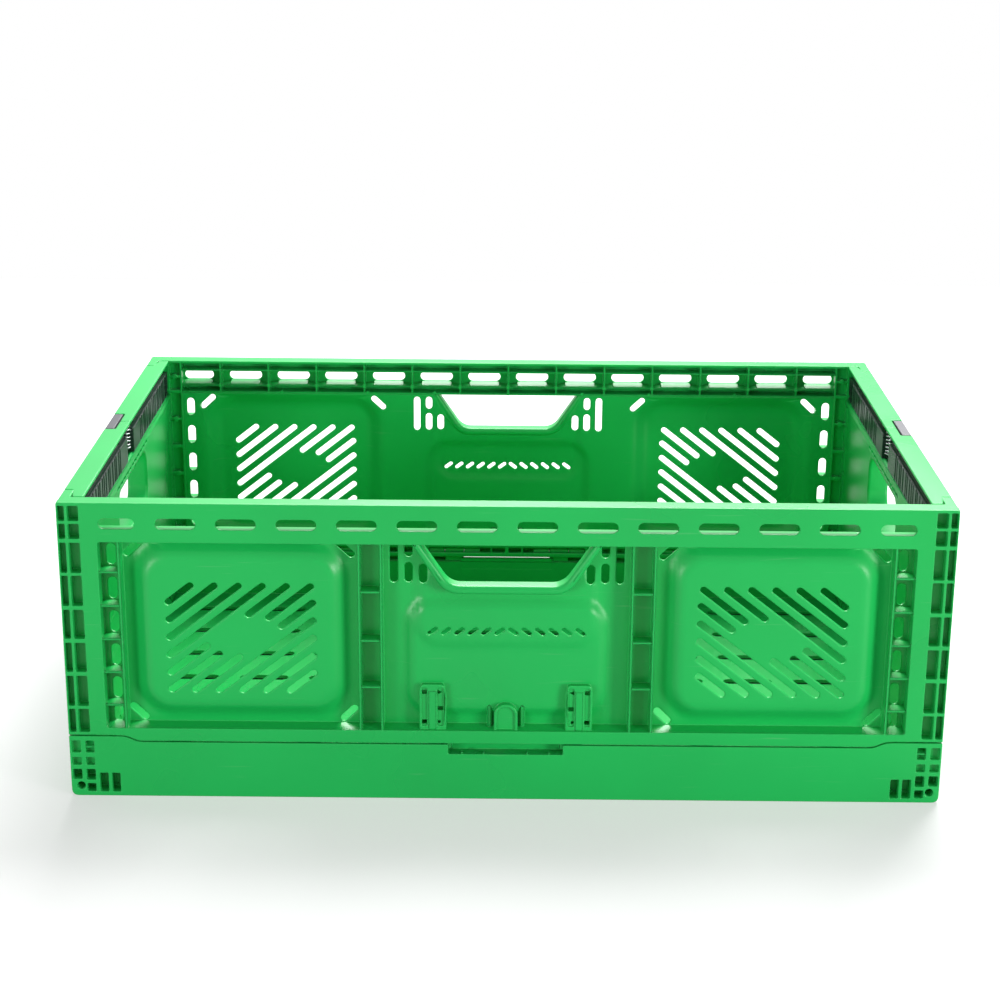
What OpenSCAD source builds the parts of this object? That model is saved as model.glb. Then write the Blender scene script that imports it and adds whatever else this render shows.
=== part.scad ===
// Collapsible storage crate with folding side walls.
// Long walls stand on the skirt of the base and carry the corner posts.
// The short walls fold inward onto the floor once their latch bars are drawn in.
// X runs along the long side, Y towards the back, Z up. Origin: centre of the footprint, on the ground.

/* [Overall size] */
// Length of the crate, outside
crate_l = 600; // [560:1:640]
// Width of the crate, outside
crate_w = 400; // [370:1:430]
// Height of the erected crate
crate_h = 213; // [190:1:240]

/* [Base] */
// Height of the long skirt of the base
skirt_h = 41; // [36:0.5:44]
// Height of the raised corners of the base
corner_h = 45; // [42:0.5:48]
// Length of each raised corner
corner_l = 45; // [38:1:52]
// Height of the short skirt of the base
side_skirt_h = 22; // [20:0.5:24]
// Thickness of the floor
floor_t = 3; // [2.5:0.25:3.5]
// Height of the floor's top face
floor_top = 6; // [5:0.25:7]
// Thickness of the skins of the base
skin_t = 3; // [2.4:0.1:3.6]
// Floor slots along the length
floor_nx = 10; // [6:1:12]
// Floor slots along the width
floor_ny = 7; // [5:1:9]

/* [Walls] */
// Thickness of the long walls and of their top rail
wall_t = 14; // [12:0.5:16]
// Thickness of the short walls and of their rim
side_t = 16; // [14:0.5:18]
// Thickness of the inner sheet of a wall
web_t = 2.5; // [2:0.1:3]
// Thickness of ribs and shelves
rib_t = 1.8; // [1.4:0.1:2.4]
// Height of the slotted top rail
rail_h = 27.5; // [24:0.5:32]
// Height of the bottom rail of the long wall
foot_h = 9.5; // [9:0.5:12]
// Gap between a wall and the base
seam = 0.6; // [0.4:0.1:1]
// Gap between parts that move past each other
clear = 0.5; // [0.3:0.1:0.8]

/* [Rail slots] */
// Number of slots in the top rail
slot_n = 14; // [10:2:16]
// Pitch of the rail slots
slot_pitch = 40.2; // [36:0.1:42]
// Length of a rail slot
slot_l = 27; // [22:0.5:30]
// Height of a rail slot
slot_w = 7.5; // [5:0.5:9]

/* [Posts] */
// Width of the corner post, seen from the front
post_w = 26.5; // [24:0.5:30]
// Length of the post's leg along the short side
leg_l = 30; // [26:0.5:32]
// Thickness of the post's leg
leg_t = 7.6; // [6.5:0.1:8]
// Height of one row of pockets in the posts and the end ladders
rung_pitch = 24; // [20:0.5:26]
// Depth of the post's pockets
pocket_d = 9; // [6:0.5:10]

/* [Panels] */
// Distance from the middle of the crate to the middle of a slotted panel
panel_x = 180; // [170:1:190]
// Width of the bulged part of a slotted panel
panel_w = 137; // [120:1:142]
// Depth of the bulge
bulge_d = 8; // [5:0.5:9]
// Width of a diagonal slot
diag_w = 4.2; // [3:0.2:5]
// Slope of the diagonal slots, degrees
diag_a = 38.2; // [35:0.1:42]

/* [Handholds] */
// Width of the long wall's handhold at the top
hold_w = 110; // [100:1:116]
// Height of the long wall's handhold
hold_h = 25.5; // [22:0.5:30]
// Width of the lip around a handhold
lip_w = 6; // [4:0.5:7]
// Width of the short wall's handhold
side_hold_w = 120; // [100:1:140]
// Height of the short wall's handhold
side_hold_h = 36; // [30:1:40]

/* [Hinges] */
// Distance of the short wall's hinge from the outside
side_pin_in = 11; // [10:0.25:11.5]
// Height of the short wall's hinge
side_pin_z = 11.5; // [11.5:0.25:13]
// Radius of the short wall's hinge rod
side_pin_r = 2; // [1.5:0.1:2.5]
// Distance of the long wall's hinge from the outside
long_pin_in = 7; // [6.8:0.1:7.2]
// Height of the long wall's hinge above the skirt
long_pin_up = 4.3; // [4.2:0.1:4.6]
// Radius of the long wall's hinge rods
long_pin_r = 1.7; // [1.4:0.1:1.9]
// Running clearance of a rod in its eye, on the radius
run_clear = 0.05; // [0.03:0.01:0.1]

/* [Latch] */
// Travel of the latch
latch_travel = 7; // [5:0.5:7.5]
// Width of the grip of the latch
grip_w = 40.4; // [34:0.2:46]
// Height of the latch channel below the rim
channel_h = 28.5; // [26:0.5:32]
// Height of a latch bar
bar_h = 19; // [16:0.5:20]
// Radius of the peg of a latch bar
peg_r = 2; // [1.6:0.1:2.4]
// Mean radius of the return spring
coil_r = 3; // [2.4:0.1:3.2]
// Radius of the spring wire
wire_r = 0.55; // [0.4:0.05:0.6]
// Turns of the return spring
coil_n = 7; // [5:1:8]

/* [Hidden] */
hl = crate_l / 2;
hw = crate_w / 2;
yo = -hw;                     // outer face of the front wall
yi = yo + wall_t;             // inner face of the front wall
wall_z = skirt_h + seam;      // underside of the long wall
wall_cz = corner_h + seam;    // the same at the raised corners
rail_z = crate_h - rail_h;    // underside of the top rail
foot_z = wall_z + foot_h;     // top of the bottom rail
rung_n = floor((rail_z - foot_z - 12) / rung_pitch);
rung_low = rail_z + 2.4 - rung_n * rung_pitch;  // lowest rung of the end ladders
post_x = hl - post_w;         // inner edge of a corner post
lad_w = 13.5;                 // width of the end ladder
lad_x = post_x - lad_w / 2;
div_x = 92;                   // middle of the inner ladders
div_w = 14.8;
xo = hl;                      // outer face of the right wall
xi = hl - side_t;             // inner face of the right wall
side_z = side_skirt_h + 0.8;  // underside of the short wall
side_px = hl - side_pin_in;
long_py = yo + long_pin_in;
long_pz = skirt_h + long_pin_up;
ledge_z = long_pz - (wall_t - long_pin_in) - 1.1;  // clear of the long wall when it lies folded
knuckle_r = 3.7;
side_kr = 5;
stations = [-225, -135, -45, 45, 135, 225];
side_stations = [-140, -84, -28, 28, 84, 140];
chan_z = crate_h - channel_h; // floor of the latch channel
bar_z = chan_z + 0.4;
skin2 = 2.2;
cam_z = chan_z + 2.5;
cam_top = crate_h - 10;
spring_z0 = chan_z + 7.5;
spring_z1 = crate_h - 2.6;
peg_y = 18;
peg_z = cam_top - 4.5;

green = [0.16, 0.72, 0.34];
black = [0.10, 0.11, 0.11];
grey = [0.45, 0.45, 0.48];
steel = [0.70, 0.71, 0.73];

// ---- outlines, as lists of points -------------------------------------

// Slot with round ends: centre, overall length, width, angle
function stadium(c, l, w, a = 0, n = 4) =
    [for (s = [0, 1], i = [0 : n])
        let (t = a - 90 + 180 * s + 180 * i / n, e = (s == 0 ? 1 : -1) * (l - w) / 2)
        [c.x + e * cos(a) + w / 2 * cos(t), c.y + e * sin(a) + w / 2 * sin(t)]];

// Rectangle with round corners, from its limits
function round_rect(x0, x1, z0, z1, r, n = 4) =
    [for (q = [0 : 3], i = [0 : n])
        let (t = 90 * q + 90 * i / n,
             cx = (q == 0 || q == 3) ? x1 - r : x0 + r,
             cz = (q < 2) ? z1 - r : z0 + r)
        [cx + r * cos(t), cz + r * sin(t)]];

function rect(x0, x1, z0, z1) = [[x0, z0], [x1, z0], [x1, z1], [x0, z1]];
function flip(p, s) = [for (q = p) [s * q.x, q.y]];

// A flat shape with holes: the first loop is the outside
module holed(loops) {
    starts = [for (i = 0, s = 0; i < len(loops); s = s + len(loops[i]), i = i + 1) s];
    polygon([for (l = loops) each l],
            [for (i = [0 : len(loops) - 1]) [for (j = [0 : len(loops[i]) - 1]) starts[i] + j]]);
}

// Flat shape in X and Z, made solid between two values of Y
module along_y(y0, y1) translate([0, y1, 0]) rotate([90, 0, 0]) linear_extrude(y1 - y0) children();
// Flat shape in Y and Z, made solid between two values of X
module along_x(x0, x1) translate([x0, 0, 0]) rotate([90, 0, 90]) linear_extrude(x1 - x0) children();
module box(x0, x1, y0, y1, z0, z1) translate([x0, y0, z0]) cube([x1 - x0, y1 - y0, z1 - z0]);
module both_x() { children(); mirror([1, 0, 0]) children(); }
module both_y() { children(); mirror([0, 1, 0]) children(); }
module rod_x(x0, x1, y, z, r) translate([x0, y, z]) rotate([0, 90, 0]) cylinder(h = x1 - x0, r = r, $fn = 48);
module rod_y(y0, y1, x, z, r) translate([x, y1, z]) rotate([90, 0, 0]) cylinder(h = y1 - y0, r = r, $fn = 48);

// ---- base ---------------------------------------------------------------

module floor_plate() {
    px = (crate_l - 60) / floor_nx;
    py = (crate_w - 50) / floor_ny;
    translate([0, 0, floor_top - floor_t]) linear_extrude(floor_t)
        holed(concat([rect(-hl + 1, hl - 1, -hw + 1, hw - 1)],
            [for (i = [0 : floor_nx - 1], j = [0 : floor_ny - 1])
                stadium([(i - (floor_nx - 1) / 2) * px, (j - (floor_ny - 1) / 2) * py],
                        px - 16, 9, 0, 3)]));
    // ribs under the floor
    for (i = [0 : floor_nx]) let (x = (i - floor_nx / 2) * px)
        box(x - rib_t / 2, x + rib_t / 2, -hw + 2, hw - 2, 0, floor_top - floor_t / 2);
    for (j = [0 : floor_ny]) let (y = (j - floor_ny / 2) * py)
        box(-hl + 2, hl - 2, y - rib_t / 2, y + rib_t / 2, 0, floor_top - floor_t / 2);
}

// One long skirt, at the front
module long_skirt() {
    yb = yi - 1.2;  // inner face of the skirt
    notch_w = 79;
    // outer skin with the raised corners and the notch in the middle
    along_y(yo, yo + skin_t) holed([[
        [-hl, 0], [hl, 0], [hl, corner_h], [hl - corner_l + 4, corner_h], [hl - corner_l, skirt_h],
        [notch_w / 2, skirt_h], [notch_w / 2, skirt_h - 7], [-notch_w / 2, skirt_h - 7],
        [-notch_w / 2, skirt_h], [-hl + corner_l, skirt_h], [-hl + corner_l - 4, corner_h],
        [-hl, corner_h]]]);
    // inner skin
    box(-hl + leg_t + 1, hl - leg_t - 1, yb - skin_t, yb, floor_top - 1, ledge_z);
    // ledge between them, left open at the notch
    both_x() box(notch_w / 2, hl - leg_t - 1, yo + 1, yb - 1, ledge_z - rib_t, ledge_z);
    box(-notch_w / 2 - 1, notch_w / 2 + 1, yo + 1, yb - 1, skirt_h - 7 - rib_t, skirt_h - 7);
    // ribs across the skirt
    for (x = [-252 : 28 : 252]) if (abs(x) > 45)
        box(x - rib_t / 2, x + rib_t / 2, yo + 1, yb - 1, floor_top - 1, ledge_z - 1);
    // hinge lugs
    for (c = stations) difference() {
        union() {
            box(c - 8, c + 8, long_py - knuckle_r, long_py + knuckle_r, skirt_h - 8, long_pz);
            rod_x(c - 8, c + 8, long_py, long_pz, knuckle_r);
        }
        rod_x(c - 9, c + 9, long_py, long_pz, long_pin_r + run_clear);
    }
}

// Solid corner, with the pockets seen from the front
module base_corner() difference() {
    union() {
        box(hl - corner_l + 6, hl - leg_t - 1, yo + 1, yi - 1.2, 0, ledge_z);
        box(hl - leg_t - 1.5, hl, yo + 1, yi - 1.2, 0, side_skirt_h);
    }
    // grid of square pockets
    for (r = [[41.0, 33.0], [29.5, 23.6], [20.4, 12.6]]) for (c = [[7.2, 2.0], [16.6, 10.2]])
        box(hl - c[0], hl - c[1], yo - 1, yo + (r[0] > 30 || r[0] < 22 ? 5 : 3.2), r[1], r[0]);
    // tall pockets beside the grid
    for (c = [[24.6, 18.4], [33.4, 27.2]]) box(hl - c[0], hl - c[1], yo - 1, yo + 7, 3, 17);
    box(hl - 16.2, hl - 11.6, yo - 1, yo + 6, 5.5, 10.5);
    // round locating hole
    rod_y(yo - 1, yo + 9, hl - 8, 8, 2.9);
}

module short_skirt() {
    box(hl - skin_t, hl, -hw + 8, hw - 8, 0, side_skirt_h);
    // stacking foot and lugs for the hinge rod
    for (c = side_stations) difference() {
        union() {
            box(side_px - side_kr, hl - 1, c - 9, c + 9, floor_top - 1, side_pin_z);
            rod_y(c - 9, c + 9, side_px, side_pin_z, side_kr);
        }
        rod_y(c - 10, c + 10, side_px, side_pin_z, side_pin_r + run_clear);
    }
}

module base() color(green) difference() {
    union() {
        floor_plate();
        both_y() long_skirt();
        both_x() short_skirt();
        both_x() both_y() base_corner();
    }
    // the front skin would close the corner pockets, so they are cut through it as well
    both_x() both_y() {
        for (r = [[41.0, 33.0], [29.5, 23.6], [20.4, 12.6]]) for (c = [[7.2, 2.0], [16.6, 10.2]])
            box(hl - c[0], hl - c[1], yo - 1, yo + 3.1, r[1], r[0]);
        for (c = [[24.6, 18.4], [33.4, 27.2]]) box(hl - c[0], hl - c[1], yo - 1, yo + 6.9, 3, 17);
        box(hl - 16.2, hl - 11.6, yo - 1, yo + 5.9, 5.5, 10.5);
        rod_y(yo - 1, yo + 8.9, hl - 8, 8, 2.9);
    }
    // room below the floor knuckles of the short walls
    both_x() for (c = [-168, -112, -56, 0, 56, 112, 168])
        box(side_px - side_kr - 0.8, hl - skin_t, c - 18.4, c + 18.4, floor_top - 0.9, side_skirt_h + 1);
}

// ---- long walls -----------------------------------------------------------

slope = tan(diag_a);
pat_l = -48.5;   // ends of the diagonal slots, measured from the middle of the panel
pat_r = 49;
pat_b = 80.5;
pat_t = crate_h - 57;
// Height of line k at x, both measured from the middle of the panel
function diag_z(k, x) = pat_t - 12 - 12.75 * k + slope * (x - pat_l);
function diag_x(k, z) = pat_l + (z - pat_t + 12 + 12.75 * k) / slope;
function diag_slot(k, x0, x1) =
    stadium([(x0 + x1) / 2, (diag_z(k, x0) + diag_z(k, x1)) / 2],
            (x1 - x0) / cos(diag_a) + diag_w, diag_w, diag_a, 3);
function shift(p, dx) = [for (q = p) [q.x + dx, q.y]];
// All diagonal slots of the left panel. Lines 4 to 6 leave the middle closed.
function diag_slots() = [for (k = [0 : 10])
    let (x0 = max(pat_l, diag_x(k, pat_b)), x1 = min(pat_r, diag_x(k, pat_t)),
         g = 2 + 11 * (k - 5), h = 17 - 2.5 * abs(k - 5))
    each (abs(k - 5) <= 1 ? [diag_slot(k, x0, g - h), diag_slot(k, g + h, x1)]
                          : [diag_slot(k, x0, x1)])];

function hold_loop(g) = // handhold outline, grown by g
    let (w = hold_w / 2, b = w - 20, z0 = rail_z - hold_h)
    [[-w - g, rail_z + 0.01], [-b - 7 - g * 0.9, z0 + 8 - g * 0.4], [-b - g * 0.4, z0 + 1.2 - g * 0.9],
     [-b + 5, z0 - g], [b - 5, z0 - g], [b + g * 0.4, z0 + 1.2 - g * 0.9],
     [b + 7 + g * 0.9, z0 + 8 - g * 0.4], [w + g, rail_z + 0.01]];

module wall_sheet() {
    pw = panel_w / 2;
    along_y(yi - web_t, yi) holed(concat(
        [[[-hl, wall_cz], [-hl + corner_l - 4, wall_cz], [-hl + corner_l, wall_z],
          [hl - corner_l, wall_z], [hl - corner_l + 4, wall_cz], [hl, wall_cz], [hl, rail_z],
          [hold_w / 2 + lip_w - 1, rail_z],
          [hold_w / 2 - 10, rail_z - hold_h - lip_w + 1.5], [-hold_w / 2 + 10, rail_z - hold_h - lip_w + 1.5],
          [-hold_w / 2 - lip_w + 1, rail_z], [-hl, rail_z]]],
        // openings behind the bulges
        [for (s = [-1, 1]) flip(round_rect(panel_x - pw, panel_x + pw, 62, rail_z - 5.5, 14), s)],
        [round_rect(-68, 68, 68, rail_z - hold_h - lip_w - 5, 12)],
        // end ladder slots
        [for (s = [-1, 1], k = [0 : rung_n - 1]) stadium([s * lad_x, rail_z - 12 - k * rung_pitch], 15, 6, 90)],
        [for (s = [-1, 1]) stadium([s * lad_x, (foot_z + rung_low) / 2], 10.5, 6, 90)],
        // slots in the four corners of each panel
        [for (s = [-1, 1]) each [
            flip(stadium([251.4, rail_z - 7], 15, 4.6, -43), s),
            flip(stadium([109.2, rail_z - 7], 13, 4.6, 43), s),
            flip(stadium([252, 59.5], 15, 4.6, 45), s),
            flip(stadium([107.8, 59.5], 14, 4.6, -45), s)]],
        // slots beside the handhold
        [for (s = [-1, 1]) each [
            flip(stadium([76, rail_z - 14], 26, 5.2, 90), s),
            flip(stadium([66, rail_z - 5.8], 9.5, 5.2, 90), s),
            flip(stadium([66, rail_z - 20], 14, 5.2, 90), s)]]));
}

// Bulged panel: a pan that stands out towards the front, open at the back
module pan(x0, x1, z0, z1, r, d, slots) {
    along_y(yi - web_t - d, yi) holed([round_rect(x0, x1, z0, z1, r),
        round_rect(x0 + 2.2, x1 - 2.2, z0 + 2.2, z1 - 2.2, r - 2)]);
    along_y(yi - web_t - d, yi - web_t - d + 2.3) holed(concat([round_rect(x0 + 1, x1 - 1, z0 + 1, z1 - 1, r - 1)],
        slots));
}

module top_rail() {
    n = slot_n / 2;
    along_y(yo, yo + skin2) holed(concat([rect(-post_x - 1, post_x + 1, rail_z, crate_h)],
        [for (s = [-1, 1], i = [0 : n - 1]) let (last = i == n - 1)
            stadium([s * ((i + 0.5) * slot_pitch - (last ? 1 : 0)), crate_h - 14.4],
                    last ? slot_l - 3 : slot_l, slot_w)]));
    for (z = [[crate_h - 2.4, crate_h], [crate_h - 8.6, crate_h - 7], [rail_z + 6.2, rail_z + 7.8],
              [rail_z, rail_z + rib_t]])
        box(-post_x - 1, post_x + 1, yo + 1, yi, z[0], z[1]);
    for (i = [-n + 1 : n - 1])
        box(i * slot_pitch - rib_t / 2, i * slot_pitch + rib_t / 2, yo + 1, yi - 0.3, rail_z + 1, crate_h - 1);
}

module ladder(x, w, breaks) {
    for (s = [-1, 1]) box(x + s * w / 2 - rib_t / 2, x + s * w / 2 + rib_t / 2, yo + 0.6, yi - 1, foot_z - 1, rail_z + 1);
    for (z = breaks) box(x - w / 2, x + w / 2, yo + 0.6, yi - 1, z - rib_t / 2, z + rib_t / 2);
}

module bottom_rail() {
    along_y(yo, yo + 1.7) holed([[[-post_x, wall_cz], [-hl + corner_l - 4, wall_cz],
        [-hl + corner_l, wall_z], [hl - corner_l, wall_z], [hl - corner_l + 4, wall_cz], [post_x, wall_cz],
        [post_x, foot_z], [-post_x, foot_z]]]);
    box(-post_x, post_x, yo + 1, yi - 1, foot_z - rib_t, foot_z);
    for (c = stations) for (s = [-1, 1]) let (a = c + s * 8.5, b = c + s * 22) difference() {
        union() {
            box(min(a, b), max(a, b), long_py, yi - 1, wall_z, foot_z - 1);
            rod_x(min(a, b), max(a, b), long_py, long_pz, knuckle_r - 0.1);
        }
        rod_x(min(a, b) - 1, max(a, b) + 1, long_py, long_pz, long_pin_r + run_clear);
    }
}

module post() {
    // middles of the rungs, from the top down, with two short rows in the rail
    rungs = concat([crate_h - 1.4, crate_h - 13.7],
        [for (k = [0 : rung_n]) rail_z + 1.1 - k * rung_pitch], [wall_cz + 1]);
    difference() {
        union() {
            box(post_x, hl, yo, yi, wall_cz, crate_h);
            box(hl - leg_t, hl, yo + 1, yo + leg_l, wall_cz, crate_h);
        }
        for (i = [0 : len(rungs) - 2]) let (z0 = rungs[i + 1] + 1.2, z1 = rungs[i] - 1.2) {
            // two columns in front, and the same on the side
            box(hl - 14.8, hl - 7.4, yo - 1, yo + pocket_d, z0, z1);
            box(hl - 5.4, hl - 0.9, yo - 1, yo + 4.6, z0, z1);
            box(hl - 5.4, hl + 1, yo + 9.6, yo + 17.6, z0, z1);
            box(hl - 5.4, hl + 1, yo + 19.6, yo + leg_l - 1.8, z0, z1);
        }
        // hollow behind the flat strip
        box(post_x + rib_t, hl - 16.4, yo + 2.4, yi - web_t - 0.2, wall_cz + 2, crate_h - 3);
    }
}

// Holder for a card at the foot of the middle panel
module card_clip() {
    box(-8.4, -6.4, yo + 4, yi - 1, foot_z - 1, 84);
    box(6.4, 8.4, yo + 4, yi - 1, foot_z - 1, 84);
    box(-8.4, 8.4, yo + 6.6, yo + 8.4, 79.5, 84);
    box(-3.2, 3.2, yo + 3.4, yo + 8.2, foot_z - 1, 80);
    for (z = [58, 72]) box(-8.4, 8.4, yo + 6.6, yo + 8.2, z, z + 2.2);
}

module arch_tab() difference() {
    union() {
        along_y(yo + 3.4, yo + 9) circle_at(0, 61.5, 8.2);
        box(-8.2, 8.2, yo + 3.4, yo + 9, foot_z - 1, 61.5);
    }
    along_y(yo + 3, yo + 6) circle_at(0, 61.5, 6);
    box(-6, 6, yo + 3, yo + 6, foot_z - 2, 61.5);
}
module circle_at(x, z, r) translate([x, z]) circle(r = r, $fn = 48);

module long_wall() {
    pw = panel_w / 2;
    difference() {
        wall_sheet();
        // windows for the hinge lugs of the base
        for (c = stations) box(c - 8.5, c + 8.5, yi - web_t - 1, yi + 1, wall_z - 1, foot_z - rib_t);
    }
    top_rail();
    bottom_rail();
    both_x() post();
    for (s = [-1, 1]) pan(min(s * (panel_x - pw), s * (panel_x + pw)), max(s * (panel_x - pw), s * (panel_x + pw)),
        62, rail_z - 5.5, 14, bulge_d,
        [for (p = diag_slots()) flip(shift(p, -panel_x), -s)]);
    pan(-68, 68, 68, rail_z - hold_h - lip_w - 5, 12, bulge_d - 3,
        concat([for (s = [-1, 1], i = [0 : 5])
            stadium([s * (4.6 + 9.1 * i), 122], 8, 2.8, -s * 37, 3)]));
    // lip around the handhold
    along_y(yo + 0.4, yi) holed([concat(hold_loop(lip_w), [for (i = [7 : -1 : 0]) hold_loop(0)[i]])]);
    both_x() ladder(lad_x, lad_w, [for (k = [1 : rung_n]) rail_z + 2.4 - k * rung_pitch]);
    both_x() ladder(div_x, div_w, [81.6, 116, 152]);
    for (s = [-1, 1]) translate([s * 50, 0, 0]) card_clip();
    arch_tab();
}

module front_wall() color(green) long_wall();
module back_wall() color(green) mirror([0, 1, 0]) long_wall();

// ---- short walls ----------------------------------------------------------

hz = chan_z - 15.5;             // top of the short wall's handhold
end_y = hw - wall_t - clear;  // end of the short wall behind the post
end_o = hw - leg_l - clear;   // end of its outer half beside the post

module short_wall() difference() {
    union() {
        // inner sheet below the latch channel
        along_x(xi, xi + web_t) holed([rect(-end_y, end_y, side_z, chan_z),
            round_rect(-side_hold_w / 2, side_hold_w / 2, hz - side_hold_h, hz, 12)]);
        // outer skin of the latch channel
        along_x(xo - skin2, xo) holed([rect(-end_o, end_o, chan_z - 1, crate_h)]);
        along_x(xo - leg_t - clear - 2.2, xo - leg_t - clear) holed([
            rect(end_o - 10, end_y, side_skirt_h + 24, crate_h - 1)]);
        along_x(xo - leg_t - clear - 2.2, xo - leg_t - clear) holed([
            rect(-end_y, -end_o + 10, side_skirt_h + 24, crate_h - 1)]);
        // rim, ledges and shelves
        for (z = [[crate_h - 2.5, crate_h], [chan_z - 2.4, chan_z], [hz + 3, hz + 4.6], [96, 97.8], [70, 71.8],
                  [side_z, side_z + 2]])
            box(xi, xo, -end_o, end_o, z[0], z[1]);
        for (z = [[crate_h - 2.5, crate_h], [chan_z - 2.4, chan_z], [96, 97.8], [side_skirt_h + 24, side_skirt_h + 26]])
            both_y() box(xi, xo - leg_t - clear, end_o - 1, end_y, z[0], z[1]);
        // upright ribs outside
        both_y() for (y = [side_hold_w / 2 + 6, 100, 134])
            box(xi + 1, xo, y - rib_t / 2, y + rib_t / 2, side_z, chan_z - 1);
        for (y = [-30, 0, 30]) box(xi + 1, xo, y - rib_t / 2, y + rib_t / 2, side_z, hz - side_hold_h - 4);
        both_y() box(xi + 1, xo, end_o - 2.2, end_o, side_z, chan_z - 1);
        both_y() box(xi, xo - leg_t - clear, end_y - 2.2, end_y, side_skirt_h + 24, chan_z);
        // lip around the handhold
        along_x(xi, xo) holed([
            round_rect(-side_hold_w / 2 - 4, side_hold_w / 2 + 4, hz - side_hold_h - 4, hz + 4, 15),
            round_rect(-side_hold_w / 2, side_hold_w / 2, hz - side_hold_h, hz, 12)]);
        // foot of the wall, beside the corners of the base
        both_y() box(xi, xo, end_o - 1, end_y, side_z, corner_h - 1.4);
        // knuckles between the lugs of the base
        for (c = [-168, -112, -56, 0, 56, 112, 168]) let (w = abs(c) == 168 ? 13 : 17.4) {
            rod_y(c - w, c + w, side_px, side_pin_z, side_kr - 0.1);
            box(side_px - side_kr + 0.1, side_px + side_kr - 0.1, c - w, c + w, side_pin_z, side_z + 1);
        }
    }
    rod_y(-crate_w, crate_w, side_px, side_pin_z, side_pin_r + run_clear);
    // notch for the grip
    box(xo - leg_t, xo + 1, -grip_w / 2 - clear, grip_w / 2 + clear, chan_z + 8, crate_h + 1);
}

module right_wall() color(green) short_wall();
module left_wall() color(green) mirror([1, 0, 0]) short_wall();

// ---- latch ---------------------------------------------------------------

cam_x1 = xo - leg_t - 0.3;
cam_x0 = cam_x1 - 3.4;
bar_x0 = xi + 0.6;

module latch_grip() {
    box(xo - leg_t + 0.4, xo - 0.2, -grip_w / 2, grip_w / 2, chan_z + 8.6, crate_h);
}

module latch_cam() difference() {
    box(cam_x0, cam_x1, -24, 24, cam_z, cam_top);
    // seat of the return spring
    box(cam_x0 - 1, cam_x1 + 1, -coil_r - wire_r - 0.8, coil_r + wire_r + 0.8, spring_z0 - 0.2, cam_top + 1);
    // sloping slots that draw the bars in as the cam rises
    both_y() along_x(cam_x0 - 1, cam_x1 + 1)
        holed([stadium([peg_y - latch_travel / 2, peg_z - latch_travel / 2],
            latch_travel * sqrt(2) + 2 * peg_r + 0.8, 2 * peg_r + 0.6, 45, 8)]);
}

// Bar towards the back of the right-hand wall
module latch_bar() difference() {
    union() {
        // thin arm in front of the cam, with its peg
        box(bar_x0, cam_x0 - 0.4, peg_y - 5, 36 + latch_travel, bar_z, bar_z + bar_h);
        translate([cam_x0 - 1, peg_y, peg_z]) rotate([0, 90, 0]) cylinder(h = 4.2, r = peg_r, $fn = 40);
        // ribbed body
        box(bar_x0, xo - leg_t - clear - 2.7, 25.5 + latch_travel, end_y, bar_z, bar_z + bar_h);
    }
    for (i = [0 : 12]) let (y = 32 + i * 11.5)
        box(bar_x0 - 1, bar_x0 + 3, y, y + 9.3, bar_z + 2, bar_z + bar_h - 2);
}

module latch_spring() translate([xi + 4.2, 0, 0]) {
    pitch = (spring_z1 - spring_z0 - 2 * wire_r) / (coil_n - 1);
    for (i = [0 : coil_n - 1]) translate([0, 0, spring_z0 + wire_r + i * pitch])
        rotate_extrude($fn = 64) translate([coil_r, 0]) circle(r = wire_r, $fn = 24);
    translate([0, coil_r, spring_z0 + wire_r]) cylinder(h = (coil_n - 1) * pitch, r = wire_r * 0.8, $fn = 24);
}

module right_latch_grip() color(grey) latch_grip();
module left_latch_grip() color(grey) mirror([1, 0, 0]) latch_grip();
module right_latch_cam() color(black) latch_cam();
module left_latch_cam() color(black) mirror([1, 0, 0]) latch_cam();
module right_bar_back() color(black) latch_bar();
module right_bar_front() color(black) mirror([0, 1, 0]) latch_bar();
module left_bar_back() color(black) mirror([1, 0, 0]) latch_bar();
module left_bar_front() color(black) mirror([1, 0, 0]) mirror([0, 1, 0]) latch_bar();
module right_latch_spring() color(steel) latch_spring();
module left_latch_spring() color(steel) mirror([1, 0, 0]) latch_spring();

// ---- hinge rods -----------------------------------------------------------

module long_pins() for (c = stations) rod_x(c - 21, c + 21, long_py, long_pz, long_pin_r);
module front_hinge_pins() color(steel) long_pins();
module back_hinge_pins() color(steel) mirror([0, 1, 0]) long_pins();
module right_hinge_pin() color(steel) rod_y(-180, 180, side_px, side_pin_z, side_pin_r);
module left_hinge_pin() color(steel) mirror([1, 0, 0]) rod_y(-180, 180, side_px, side_pin_z, side_pin_r);

base();
front_wall();
back_wall();
left_wall();
right_wall();
front_hinge_pins();
back_hinge_pins();
left_hinge_pin();
right_hinge_pin();
left_latch_grip();
right_latch_grip();
left_latch_cam();
right_latch_cam();
left_bar_front();
left_bar_back();
right_bar_front();
right_bar_back();
left_latch_spring();
right_latch_spring();
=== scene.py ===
"""Looks of a folding storage crate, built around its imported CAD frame.

Every visible plastic piece is rebuilt from flat outlines with rounded edges. Sizes are in
millimetres until a mesh is written, and X, Y and Z are those of the frame.
"""
from __future__ import annotations

import logging
import math
from collections.abc import Callable, Sequence
from dataclasses import dataclass, field
from enum import Enum

import bpy
import numpy as np
from mathutils import Matrix, Vector
from mathutils.geometry import delaunay_2d_cdt

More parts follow.
